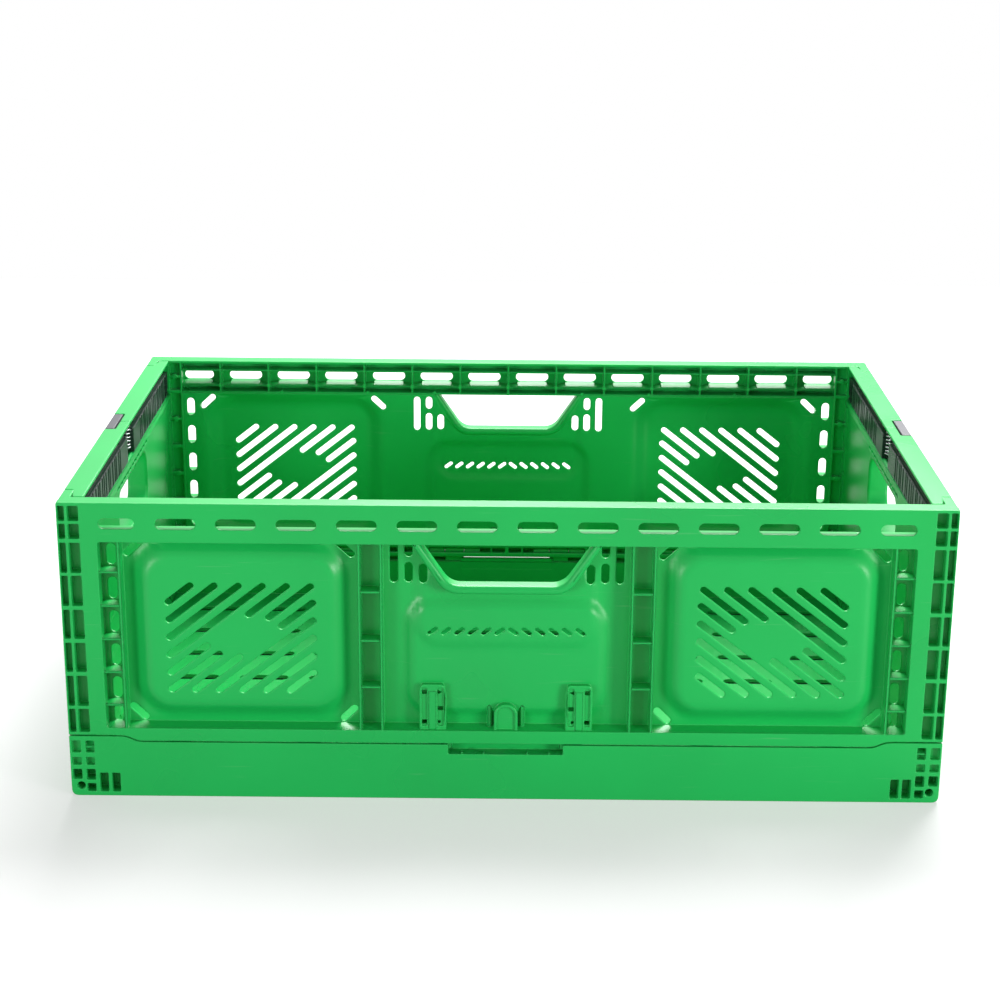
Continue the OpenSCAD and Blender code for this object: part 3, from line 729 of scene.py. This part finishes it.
    def frame(self, out: Shells) -> None:
        """The front face, with rail, posts and bottom rail in one piece."""
        s, hl, x = self.s, self.s.half_l, self.post
        wz, wc, top = s.skirt + s.seam, s.corner + s.seam, s.height
        face = softened([
            (-hl, wc), (-hl + 39, wc), (-hl + 47, wz), (hl - 47, wz), (hl - 39, wc), (hl, wc), (hl, top),
            (-hl, top)], [0.6, 4, 4, 4, 4, 0.6, 1.2, 1.2], 5)
        pockets = rows(285.2, 292.6) + rows(294.6, 299.1, 0.8)
        slots = []
        for i in range(7):  # the last slot is shorter
            last = i == 6
            middle = (i + 0.5) * s.slot_pitch - last
            slots.append(stadium(middle, top - s.slot_drop, 24 if last else 27, 7.5, n=8))
        holes = [mirrored(p, m) for m in (False, True) for p in pockets + slots]
        plate(out, [face, rounded(-x, x, s.foot - 0.2, s.rail_z, 1.6, 4), *holes], -200, -197.6, 0.4)
        side = Shells()
        plate(side, [rect(x, 299.95, wc + 0.2, top - 0.4), *pockets], -198.3, -191.6, 0.15, steps=1)
        block(side, (x, 300), (-192, -190.2), (wc, top - 1), 0.2)
        inner = rows(275.2, 283.8, 0.7)
        plate(side, [rect(x, 292.2, wc + 0.1, top - 1), *inner], -190.6, -186, 0.4)
        block(side, (292, 300), (-190.6, -186), (wc + 0.1, top - 1), 0.3)
        for z in (199.4, 162.6, 114.8, 66.0):
            boss(side, 279.5, z, 2.3, -190, -185.8, Plane.XZ)
        columns = ((-188.4, -180.6), (-178.8, -171.4))
        leg = [rounded(y0, y1, a, b, 0.8, 3) for a, b in POST_ROWS for y0, y1 in columns]
        end = -s.half_w + s.leg_l
        plate(side, [rect(-190.4, end, wc, top - 1), *leg], 295.2, 300, 0.45, Plane.YZ, steps=2)
        block(side, (300 - s.leg_t, 295.4), (-187, end), (wc, top - 1), 0.4)
        out.extend(side)
        out.extend(side, (-1, 1, 1))

    def rail(self, out: Shells) -> None:
        """The top of the rail and its rows of pockets, open towards the inside."""
        s, x = self.s, self.post + 0.2
        pitch, y0, y1, z0, z1 = s.slot_pitch, -200.0, -186.0, s.rail_z, s.height
        zc, out_x, in_x, leg_y = z1 - s.slot_drop, 299.9, 292.6, -170
        rim = softened([
            (-out_x, y0 + 0.4), (out_x, y0 + 0.4), (out_x, leg_y), (in_x, leg_y), (in_x, y1), (-in_x, y1),
            (-in_x, leg_y), (-out_x, leg_y)], [1.5, 1.5, 0.8, 0.8, 2.5, 2.5, 0.8, 0.8], 4)
        plate(out, [rim], z1 - 2.4, z1, 0.8, Plane.XY)
        for a, b in ((z1 - 8.6, z1 - 7.0), (z0 + 6.0, z0 + 7.4), (z0, z0 + 1.8)):
            block(out, (-x, x), (y0 + 1, y1), (a, b), 0.3)
        # sloped shelf below each slot, rising to the front
        wedge = np.array([(y0 + 1.2, z0 + 6.2), (y0 + 1.2, zc - 3.9), (y1 - 1.5, z0 + 7.9), (y1 - 1.5, z0 + 6.2)])
        for i in range(-7, 7):
            c = (i + 0.5) * pitch
            prism(out, wedge, c - 12.5, c + 12.5, Plane.YZ, 0.3)
        for i in range(-6, 7):
            c = i * pitch
            block(out, (c - 0.9, c + 0.9), (y0 + 1, y1), (z0 + 0.5, z1 - 1), 0.3)
            boss(out, c, z0 + 6.7, 1.7, y1 - 5, y1 + 0.1, Plane.XZ)
        for c in (-190, -118, -62, 0, 62, 118, 190):
            boss(out, c, z0 + 1.2, 1.5, y1 - 5, y1 + 0.1, Plane.XZ)

    def bottom(self, out: Shells) -> None:
        """The sloping flange above the bottom rail, and the knuckles of the hinges."""
        s, x = self.s, self.post
        wz = s.skirt + s.seam
        front, back = -199.4, -187.2
        top = np.array([(front, s.foot - 2.2), (back, s.foot - 0.8), (back, s.foot + 1.1), (front, s.foot - 0.3)])
        prism(out, top, -x, x, Plane.YZ, 0.3)
        for c in (-225, -135, -45, 45, 135, 225):
            for sg in (-1, 1):
                a, b = span(c + sg * 8.6, c + sg * 22)
                plate(out, [circle(*s.long_pin, 3.6), circle(*s.long_pin, 1.75)], a, b, 0.25, Plane.YZ, steps=1)
                block(out, (a, b), (-190.6, -187), (wz + 0.2, 45.2), 0.2)
        # shelf between the hinges, under the groove
        for a, b in ((-203, -157), (-113, -67), (-23, 23), (67, 113), (157, 203)):
            block(out, (a, b), (-199, -187.4), (43.6, 44.6), 0.2)
        for c in (-176, -150, -92, -70, 70, 92, 150, 176):
            block(out, (c - 1, c + 1), (-199.7, -197.5), (wz - 0.4, wz + 1), 0.1)

    def ladders(self, out: Shells) -> None:
        """Upright ladders between the panels and beside the posts."""
        s = self.s
        side = Shells()
        for x, w, breaks, stiles in (
            (self.lad_x, 13.5, (67.7, 91.8, 115.8, 139.9, 164.0), (-1,)),
            (self.div_x, 14.8, (82.3, 116.2, 151.2), (-1, 1)),
        ):
            for e in stiles:
                c = x + e * w / 2
                stile = (s.foot - 1.5, s.rail_z + 0.8)
                block(side, (c - 0.95, c + 0.95), (-199.4, -187), stile, 0.35)
            for z in breaks:
                block(side, (x - w / 2, x + w / 2 + 0.4), (-198.8, -187), (z - 0.95, z + 0.95), 0.35)
        out.extend(side)
        out.extend(side, (-1, 1, 1))

    def middle(self, out: Shells) -> None:
        """Handhold lip, card clips and the arch tab."""
        s = self.s
        plate(out, [self.hold_band()], -199.6, -186, 2.7, steps=6)
        clip = Shells()
        z0 = s.foot - 0.8
        low = [rounded(-7.4, -4.0, 54.5, 57.5, 0.4, 2), rounded(-7.4, -4.0, 76.5, 79.5, 0.4, 2),
               rounded(3.4, 7.2, 64.5, 67.5, 0.4, 2), rounded(3.4, 5.2, 55.0, 57.0, 0.3, 2),
               np.array([(3.0, 76.5), (6.6, 78.0), (3.0, 79.5)])]
        face = softened([(-9.1, z0), (9.1, z0), (9.1, 74), (7.6, 84), (-7.6, 84), (-9.1, 80)], 1.6, 3)
        windows = [rounded(-7.6, -3.8, 53.5, 81.5, 0.8, 2), rounded(3.2, 7.4, 53.5, 81.5, 0.8, 2)]
        plate(clip, [face, *windows], -197.2, -195.6, 0.4)
        plate(clip, [face + (0, -0.4), *low], -195.9, -188.6, 0.2, steps=1)
        block(clip, (-3.0, 2.6), (-197.7, -196.8), (z0, 79.5), 0.4)
        for sign in (1, -1):
            moved = Shells()
            moved.extend(clip, (sign, 1, 1))
            moved.points = [q + (-50.0 * sign, 0, 0) for q in moved.points]
            out.extend(moved)
        t = np.radians(np.linspace(0, 180, 22))
        arc = np.stack([np.cos(t), np.sin(t)], 1)
        at = (0, 61.5)
        ring = np.concatenate([
            [(8.2, z0)], arc * 8.2 + at, [(-8.2, z0), (-6.1, z0)], arc[::-1] * 6.1 + at, [(6.1, z0)]])
        plate(out, [ring], -197.6, -188, 0.6)
        plate(out, [np.concatenate([[(6.4, z0)], arc * 6.4 + at, [(-6.4, z0)]])], -196.2, -188, 0.3)
        for sign in (-1, 1):  # sides of the recess round the tab
            block(out, span(9.6, 13.0, sign), (-193.0, -187), (z0, 67.5), 0.8)

    def shells(self) -> Shells:
        """All shells of the front wall."""
        out = Shells()
        self.sheet(out)
        self.frame(out)
        self.rail(out)
        self.bottom(out)
        self.ladders(out)
        self.middle(out)
        return out


# ---------------------------------------------------------------- short walls

@dataclass(frozen=True)
class ShortWall:
    """The right-hand wall. The left-hand wall is its mirror image."""

    s: Sizes = S
    end: float = 185.5
    end_outer: float = 169.5
    hold_z: float = 173.0

    def shells(self) -> Shells:
        """All shells of the right-hand wall."""
        s, out = self.s, Shells()
        xi, xo, xs = 284.0, 300.0, 300 - s.leg_t - 0.5
        e, eo, top, ch, hz = self.end, self.end_outer, s.height, s.channel, self.hold_z
        z0 = s.side_skirt + 0.8
        hold = rounded(-60, 60, hz - 40, hz, 12, 8)
        strip = rounded(-66.5, 66.5, hz + 4.3, hz + 7.2, 0.7, 2)
        opening = rounded(-62, 62, hz - 42, hz + 2, 13, 8)
        plate(out, [rect(-e, e, z0, ch), opening, strip], xi, xi + s.web, 0.5, Plane.YZ, steps=2)
        plate(out, [rounded(-64.5, 64.5, hz - 44.5, hz + 4.5, 15, 10), hold], xi, xo, 2.2, Plane.YZ, steps=5)
        notch = 20.7
        # rim, as two strips with the notch for the grip between them
        for m in (1, -1):
            rim = softened([
                (xi, 0), (xs - 0.1, 0), (xs - 0.1, notch * m), (xo, notch * m), (xo, eo * m), (xs + 2, eo * m),
                (xs - 0.5, e * m), (xi, e * m)], 1.6, 5)
            plate(out, [rim], top - 2.5, top, 0.8, Plane.XY)
            block(out, (xo - 2.2, xo), span(notch, eo, m), (ch - 1, top - 0.6), 0.5)
            block(out, (xs - 2.2, xs), span(eo - 9, e, m), (s.corner + 1, top - 1), 0.4)
            block(out, (xi, xs), span(e - 2, e, m), (s.corner + 1, ch), 0.4)
            block(out, (xi + 1, xo), span(eo - 2.2, eo, m), (z0, ch), 0.4)
            block(out, (xi, xo), span(eo - 1, e, m), (z0, s.corner - 1.4), 0.6)
            # upright ribs, whole beside the handhold and short below it, one of them in the middle
            for y in (66, 100, 134):
                block(out, (xi + 1, xo), span(y - 0.9, y + 0.9, m), (z0, ch - 0.5), 0.4)
            for y in (30.0, 0.0) if m == 1 else (30.0,):
                block(out, (xi + 1, xo), span(y - 0.9, y + 0.9, m), (z0, hz - 43), 0.4)
            for z, h in ((ch - 2.4, 2.4), (96, 1.8), (s.corner + 1, 2)):
                block(out, (xi, xs), span(eo - 1, e, m), (z, z + h), 0.4)
            # pocket column at the end of the inner sheet
            cells = [rounded(178.4, 182.4, 49 + 19 * i, 49 + 19 * i + 16.6, 0.8, 2) for i in range(7)]
            column = [mirrored(c, m < 0) for c in (rect(176.4, 184.9, 46, ch - 1), *cells)]
            plate(out, column, xi - 0.3, xi + 0.5, 0.2, Plane.YZ, steps=1)
            for i in range(8):
                block(out, (xi - 0.4, xi), span(176.6, 178.2, m), (46.4 + 19 * i, 48.6 + 19 * i), 0.15)
        block(out, (xo - 2.2, xo), (-20.8, 20.8), (ch - 1, ch + 8), 0.5)
        for z, h in ((ch - 2.4, 2.4), (hz + 3, 1.6), (96, 1.8), (70, 1.8), (z0, 2)):
            block(out, (xi, xo), (-eo, eo), (z, z + h), 0.4)
        # sloping ledge below the channel
        band = ((xi + 0.05, hz + 7.4), (xi + 1.5, hz + 7.4), (xi + 3.6, ch + 0.8), (xi + 2.2, ch + 0.8))
        for a, b in ((-e + 1, -93.2), (-92.8, -0.2), (0.2, 92.8), (93.2, e - 1)):
            prism(out, np.array(band), a, b, Plane.XZ, 0.3)
        # small ladder with deep pockets between the ledge and the handhold
        y = np.linspace(-66, 66, 12)
        cells = [rounded(a + 0.7, b - 0.7, hz + 4.6, hz + 6.9, 0.7, 2) for a, b in zip(y[:-1], y[1:], strict=True)]
        strip = rounded(-e + 1, e - 1, hz + 3.4, hz + 8.0, 0.6, 2)
        plate(out, [strip, *cells], xi - 0.2, xi + 1.4, 0.3, Plane.YZ, steps=1)
        # knuckles round the hinge pin, narrower at the ends
        for c in (-168, -112, -56, 0, 56, 112, 168):
            w = 13 if abs(c) == 168 else 17.4
            plate(out, [circle(*s.side_pin, 4.9), circle(*s.side_pin, 2.05)], c - w, c + w, 0.3, steps=1)
            block(out, (284.1, 293.9), (c - w, c + w), (15.6, z0 + 1), 0.3)
        return out


# ---------------------------------------------------------------- base

@dataclass(frozen=True)
class Base:
    """The base: floor, skirts, corners and hinge lugs."""

    s: Sizes = S
    ledge: float = 37.2

    def floor(self, out: Shells) -> None:
        """The slotted floor and the ribs under it."""
        px, py = 54.0, 50.0
        slots = [stadium((i - 4.5) * px, (j - 3) * py, px - 16, 9, n=4) for i in range(10) for j in range(7)]
        half = [(299, -188.5), (299, 188.5), (263, 188.5), (263, 199)]
        edge = np.array([(263, -199), (263, -188.5), *half, *((-x, y) for x, y in reversed(half)),
                         (-263, -188.5), (-263, -199)], float)
        plate(out, [edge, *slots], 3, 6, 0.4, Plane.XY, steps=2)
        for i in range(11):
            x, reach = (i - 5) * px, 198 if 0 < i < 10 else 188
            block(out, (x - 0.9, x + 0.9), (-reach, reach), (0, 4.5), 0.2)
        for j in range(8):
            y = (j - 3.5) * py
            block(out, (-298, 298), (y - 0.9, y + 0.9), (0, 4.5), 0.2)

    def skirt(self, out: Shells) -> None:
        """The front skirt with its corners."""
        s, hl, sk, co = self.s, self.s.half_l, self.s.skirt - 0.4, self.s.corner - 0.4
        side = Shells()
        face = softened([
            (-hl, 0), (hl, 0), (hl, co), (hl - 39, co), (hl - 47, sk), (39.5, sk), (39.5, sk - 7),
            (-39.5, sk - 7), (-39.5, sk), (-hl + 47, sk), (-hl + 39, co), (-hl, co)],
            [5, 5, 0.8, 4, 4, 1, 1, 1, 1, 4, 4, 0.8], 5)
        upper = ((32.4, 41.2), (23.0, 28.8))
        shallow = rows(292.2, 298.6, 0.8, upper) + rows(283.0, 289.0, 0.8, upper)
        deep = rows(292.2, 298.6, 0.8, ((12.4, 19.9),)) + rows(283.0, 289.2, 0.8, ((11.8, 19.9), (3.2, 9.2)))
        deep += rows(274.2, 280.2, 0.8, ((3.0, 17.2),)) + rows(266.0, 271.8, 0.8, ((3.0, 17.2),))
        deep.append(circle(293.2, 7.6, 2.9))
        plate(out, [face, *(mirrored(p, m) for m in (False, True) for p in shallow + deep)], -200, -197.4, 0.35)
        # depth behind the pockets
        edge_x = 299.95
        high = softened([(264, 0.1), (edge_x, 0.1), (edge_x, 43.6), (281, 43.6), (281, 21.5), (264, 21.5)],
                        [1, 5, 1, 1, 1, 1], 4)
        plate(side, [high, *shallow, *deep], -197.9, -195.6, 0.15, steps=1)
        block(side, (281.2, 291), (-195.9, -194.2), (21.2, self.ledge), 0.2)
        block(side, (290, 300), (-195.9, -192.4), (21.2, 44.4), 0.3)
        low = softened([(264, 0.1), (edge_x, 0.1), (edge_x, 21.6), (264, 21.6)], [1, 5, 1, 1], 4)
        plate(side, [low, *deep], -196, -189.4, 0.15, steps=1)
        block(side, (264, 291), (-189.9, -187.2), (0.2, self.ledge), 0.3)
        block(side, (290, 299.6), (-189.9, -187.2), (5, s.side_skirt), 0.3)
        # inner skin, ledge and ribs
        block(out, (-291.4, 291.4), (-190.2, -187.2), (5, self.ledge), 0.5)
        block(out, (-39.5, 39.5), (-190.4, -187.4), (30, sk - 0.4), 0.3)
        block(side, (39.5, 291.4), (-199, -188.2), (self.ledge - 1.8, self.ledge), 0.3)
        block(out, (-40.5, 40.5), (-199, -188.2), (sk - 8.8, sk - 7), 0.3)
        block(side, (39.5, 41.0), (-199, -188.2), (sk - 8.8, self.ledge), 0.3)
        for x in (15.0, 30.0):
            block(side, (x - 0.8, x + 0.8), (-199.4, -196), (sk - 7.2, sk - 5.6), 0.2)
        for c in (45, 135, 225):
            lug = [circle(*s.long_pin, 3.7), circle(*s.long_pin, 1.75)]
            plate(side, lug, c - 8, c + 8, 0.3, Plane.YZ, steps=1)
            block(side, (c - 8, c + 8), (-196.6, -189.4), (36, 43.4), 0.3)
        out.extend(side)
        out.extend(side, (-1, 1, 1))

    def short_side(self, out: Shells) -> None:
        """The right-hand skirt with the lugs of the wall's hinge."""
        s = self.s
        plate(out, [rounded(-191.5, 191.5, 0, s.side_skirt, 1.2, 3)], 297, 300, 0.6, Plane.YZ)
        for c in (-140, -84, -28, 28, 84, 140):
            plate(out, [circle(*s.side_pin, 5.0), circle(*s.side_pin, 2.05)], c - 9, c + 9, 0.3, steps=1)
            block(out, (284, 297.4), (c - 9, c + 9), (5, 8.2), 0.3)
            block(out, (293, 297.4), (c - 9, c + 9), (5, 14), 0.3)

    def shells(self) -> Shells:
        """All shells of the base."""
        out, front, right = Shells(), Shells(), Shells()
        self.floor(out)
        self.skirt(front)
        self.short_side(right)
        out.extend(front)
        out.extend(front, (1, -1, 1))
        out.extend(right)
        out.extend(right, (-1, 1, 1))
        return out


# ---------------------------------------------------------------- latch

@dataclass(frozen=True)
class Latch:
    """The latch of the right-hand wall."""

    s: Sizes = S
    cam_x: tuple[float, float] = (288.7, 292.1)
    bar_x: float = 284.6

    def grip(self) -> Shells:
        """The grey grip, whose top lies flush with the rim."""
        out = Shells()
        top, low = self.s.height, self.s.channel + 8.6
        plate(out, [rounded(-20.2, 20.2, low, top, 1.4, 4)], 292.9, 299.7, 0.7, Plane.YZ)
        for i in range(4):  # finger ribs
            z = low + 3 + 3.2 * i
            block(out, (299.2, 299.95), (-16, 16), (z, z + 1.2), 0.25)
        return out

    def cam(self) -> Shells:
        """The cam plate with its two sloping slots and the seat of the spring."""
        out = Shells()
        z0, z1, seat = self.s.channel + 2.5, self.s.height - 10, self.s.channel + 7.4
        y = 4.35
        outer = np.array([(-24, z0), (24, z0), (24, z1), (y, z1), (y, seat), (-y, seat), (-y, z1), (-24, z1)])
        slots = [stadium(m * 14.5, z1 - 8, 7 * math.sqrt(2) + 4.8, 4.6, 45 * m) for m in (1, -1)]
        plate(out, [softened(outer, 0.8, 3), *slots], *self.cam_x, 0.4, Plane.YZ)
        return out

    def bar(self) -> Shells:
        """The ribbed bar towards the back."""
        out = Shells()
        z0, z1, x0 = self.s.channel + 0.4, self.s.channel + 19.4, self.bar_x
        block(out, (x0, 288.3), (13, 43), (z0, z1), 0.5)
        block(out, (x0 + 2.9, 289.2), (32.5, 185.4), (z0, z1), 0.4)
        block(out, (x0 + 0.6, x0 + 3.2), (36, 185.4), (z0, z0 + 1.6), 0.4)
        block(out, (x0 + 0.6, x0 + 3.2), (36, 185.4), (z1 - 1.6, z1), 0.4)
        widths = (4.2, 7.6, 3.0, 6.4, 8.2, 3.4, 7.0, 5.2)
        y = 45.6
        for i in range(15):
            w = widths[i % len(widths)]
            block(out, (x0, x0 + 3.2), (y, y + w), (z0 + 0.3, z1 - 0.3), 0.45)
            y += w + 2.4
            if y > 166:
                break
        for k, y in enumerate((171.5, 176.0, 180.5)):  # notched end
            block(out, (x0 + 0.2, x0 + 3.2), (y, y + 1.6), (z0 + 2.5 * k, z1 - 1), 0.3)
        for z in (z0 + 5, z0 + 10, z0 + 15):
            block(out, (x0 + 0.9, x0 + 3.2), (170, 185), (z, z + 1.3), 0.3)
        prism(out, circle(18, self.s.height - 14.5, 2.0), 287.7, 291.9, Plane.YZ, 0.3)
        return out

    def spring(self) -> Shells:
        """The return spring, a coil of seven and a half turns with closed ends."""
        out = Shells()
        t = np.linspace(0, 1, 420)
        turns = 2 * math.pi * 7.5
        z0, z1 = self.s.channel + 8.1, self.s.height - 3.2
        ease = np.clip((t - 0.1) / 0.8, 0, 1)
        path = np.stack([288.2 + 3 * np.cos(turns * t), 3 * np.sin(turns * t), z0 + (z1 - z0) * ease], 1)
        tube(out, path, 0.5, 10)
        return out


# ---------------------------------------------------------------- stage

FLOOR_SHADE = (0.42, 0.42, 0.42, 1)


def camera() -> None:
    """The camera, a little above the rim and square to the front wall."""
    pitch, yaw, roll = math.radians(17.877), math.radians(0.1563), math.radians(-0.4437)
    (cp, sp), (cy, sy), (cr, sr) = ((math.cos(a), math.sin(a)) for a in (-pitch, yaw, roll))
    about_x = np.array([[1, 0, 0], [0, cp, -sp], [0, sp, cp]])
    about_z = np.array([[cy, -sy, 0], [sy, cy, 0], [0, 0, 1]])
    about_y = np.array([[cr, 0, sr], [0, 1, 0], [-sr, 0, cr]])
    m = about_z @ about_x @ about_y
    data = bpy.data.cameras.new("camera")
    data.sensor_fit = "HORIZONTAL"
    data.sensor_width = 36.0
    data.lens = 36.0 * 2.1215
    made = bpy.data.objects.new("camera", data)
    turn = Matrix(np.stack([m[:, 0], m[:, 2], -m[:, 1]], 1).tolist()).to_4x4()
    made.matrix_world = Matrix.Translation(Vector((-1.416, -1535.6, 648.5)) * MM) @ turn
    bpy.context.scene.collection.objects.link(made)
    bpy.context.scene.camera = made


@dataclass(frozen=True)
class Softbox:
    """A square lamp."""

    name: str
    at: tuple[float, float, float]
    to: tuple[float, float, float]
    size: float
    power: float

    def build(self) -> None:
        """Adds the lamp to the scene, turned towards its target."""
        data = bpy.data.lights.new(self.name, "AREA")
        data.size = self.size
        data.energy = self.power
        made = bpy.data.objects.new(self.name, data)
        made.location = self.at
        way = Vector(self.to) - Vector(self.at)
        made.rotation_euler = way.to_track_quat("-Z", "Y").to_euler()
        bpy.context.scene.collection.objects.link(made)


def seen_rays(tree: bpy.types.NodeTree) -> bpy.types.NodeSocket:
    """A socket that is 1 for rays of the camera, of reflections and through glass, and else 0."""
    path = add_node(tree, "LightPath")
    total = path.outputs["Is Camera Ray"]
    for kind in ("Is Glossy Ray", "Is Transmission Ray"):
        add = add_node(tree, "Math", operation="ADD", use_clamp=True)
        tree.links.new(total, add.inputs[0])
        tree.links.new(path.outputs[kind], add.inputs[1])
        total = add.outputs[0]
    return total


def stage() -> None:
    """White floor that keeps soft shadows, white surroundings and soft lamps.

    The floor below the crate has its own darker surface, a painted shadow under the crate, so that the slots don't
    glow.
    """
    x, y = 0.296, 0.196
    mesh = bpy.data.meshes.new("floor")
    mesh.from_pydata([(-1.4, -1.6, 0), (1.4, -1.6, 0), (1.4, 1.5, 0), (-1.4, 1.5, 0),
                      (-x, -y, 0), (x, -y, 0), (x, y, 0), (-x, y, 0)],
                     [], [(0, 1, 5, 4), (1, 2, 6, 5), (2, 3, 7, 6), (3, 0, 4, 7), (4, 5, 6, 7)])
    mesh.polygons.foreach_set("material_index", [0, 0, 0, 0, 1])
    floor = bpy.data.objects.new("floor", mesh)
    bpy.context.scene.collection.objects.link(floor)
    mat = bpy.data.materials.new("floor")
    mat.use_nodes = True
    tree, link = mat.node_tree, mat.node_tree.links.new
    tree.nodes.clear()
    out, both = add_node(tree, "OutputMaterial"), add_node(tree, "MixShader")
    plain = add_node(tree, "BsdfDiffuse", {"Color": FLOOR_SHADE})
    matt = add_node(tree, "BsdfDiffuse", {"Color": (0.88, 0.88, 0.88, 1)})
    seen, glow = add_node(tree, "MixShader", {"Fac": 0.42}), add_node(tree, "Emission")
    link(matt.outputs["BSDF"], seen.inputs[1])
    link(glow.outputs["Emission"], seen.inputs[2])
    link(seen_rays(tree), both.inputs["Fac"])
    link(plain.outputs["BSDF"], both.inputs[1])
    link(seen.outputs["Shader"], both.inputs[2])
    link(both.outputs["Shader"], out.inputs["Surface"])
    mesh.materials.append(mat)
    # painted shadow: the floor under the crate gets a darker colour and none of the white glow
    painted_shadow = bpy.data.materials.new("floor_painted_shadow")
    painted_shadow.diffuse_color = FLOOR_SHADE
    painted_shadow.use_nodes = True
    shadow_surface = painted_shadow.node_tree.nodes["Principled BSDF"]
    shadow_surface.inputs["Base Color"].default_value = FLOOR_SHADE
    shadow_surface.inputs["Roughness"].default_value = 1.0
    mesh.materials.append(painted_shadow)
    bpy.context.scene.view_settings.view_transform = "Standard"
    world = bpy.data.worlds.new("surroundings")
    bpy.context.scene.world = world
    world.use_nodes = True
    back = world.node_tree.nodes["Background"]
    back.inputs["Color"].default_value = (1, 1, 1, 1)
    level = add_node(world.node_tree, "MapRange", {"To Min": 0.46, "To Max": 1.0})
    world.node_tree.links.new(seen_rays(world.node_tree), level.inputs["Value"])
    world.node_tree.links.new(level.outputs["Result"], back.inputs["Strength"])
    for lamp in (
        Softbox("top", (0.35, 1.35, 1.8), (0, 0, 0.1), 1.7, 124),
        Softbox("front_right", (1.9, -1.6, 0.36), (0.2, -0.1, 0.1), 0.7, 36),
        Softbox("front_left", (-1.7, -1.9, 0.36), (-0.2, -0.1, 0.1), 0.7, 20),
    ):
        lamp.build()


def main() -> None:
    """Builds the crate round its frame."""
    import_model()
    green, black, grey, steel = (f.material() for f in (GREEN, BLACK, GREY, STEEL))

    def fit(
        shells: Shells, node: str, body: str, mat: bpy.types.Material, flip: tuple[int, int, int]
    ) -> bpy.types.Object:
        """Builds one piece, mirrored by flip, and has it stand for a node and ride its body."""
        whole = Shells()
        whole.extend(shells, flip)
        made = whole.build("look_" + node, mat)
        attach(made, body)
        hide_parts(node)
        return made

    wall, side, base, latch = LongWall().shells(), ShortWall().shells(), Base().shells(), Latch()
    fit(base, "base", "crate_frame", green, (1, 1, 1))
    fit(wall, "front_wall", "crate_frame", green, (1, 1, 1))
    fit(wall, "back_wall", "crate_frame", green, (1, -1, 1))
    grip, cam, bar, spring = latch.grip(), latch.cam(), latch.bar(), latch.spring()
    for name, sx in (("right", 1), ("left", -1)):
        fit(side, f"{name}_wall", f"{name}_wall", green, (sx, 1, 1))
        fit(grip, f"{name}_latch_grip", f"{name}_latch", grey, (sx, 1, 1))
        fit(cam, f"{name}_latch_cam", f"{name}_latch", black, (sx, 1, 1))
        fit(bar, f"{name}_bar_back", f"{name}_bar_back", black, (sx, 1, 1))
        fit(bar, f"{name}_bar_front", f"{name}_bar_front", black, (sx, -1, 1))
        coil = fit(spring, f"{name}_latch_spring", f"{name}_wall", steel, (sx, 1, 1))
        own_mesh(coil)
    for node in ("front_hinge_pins", "back_hinge_pins", "left_hinge_pin", "right_hinge_pin"):
        obj = bpy.data.objects.get(node)
        if obj is not None:
            obj.data.materials.clear()
            obj.data.materials.append(steel)
    stage()
    camera()


if __name__ == "__main__":
    main()
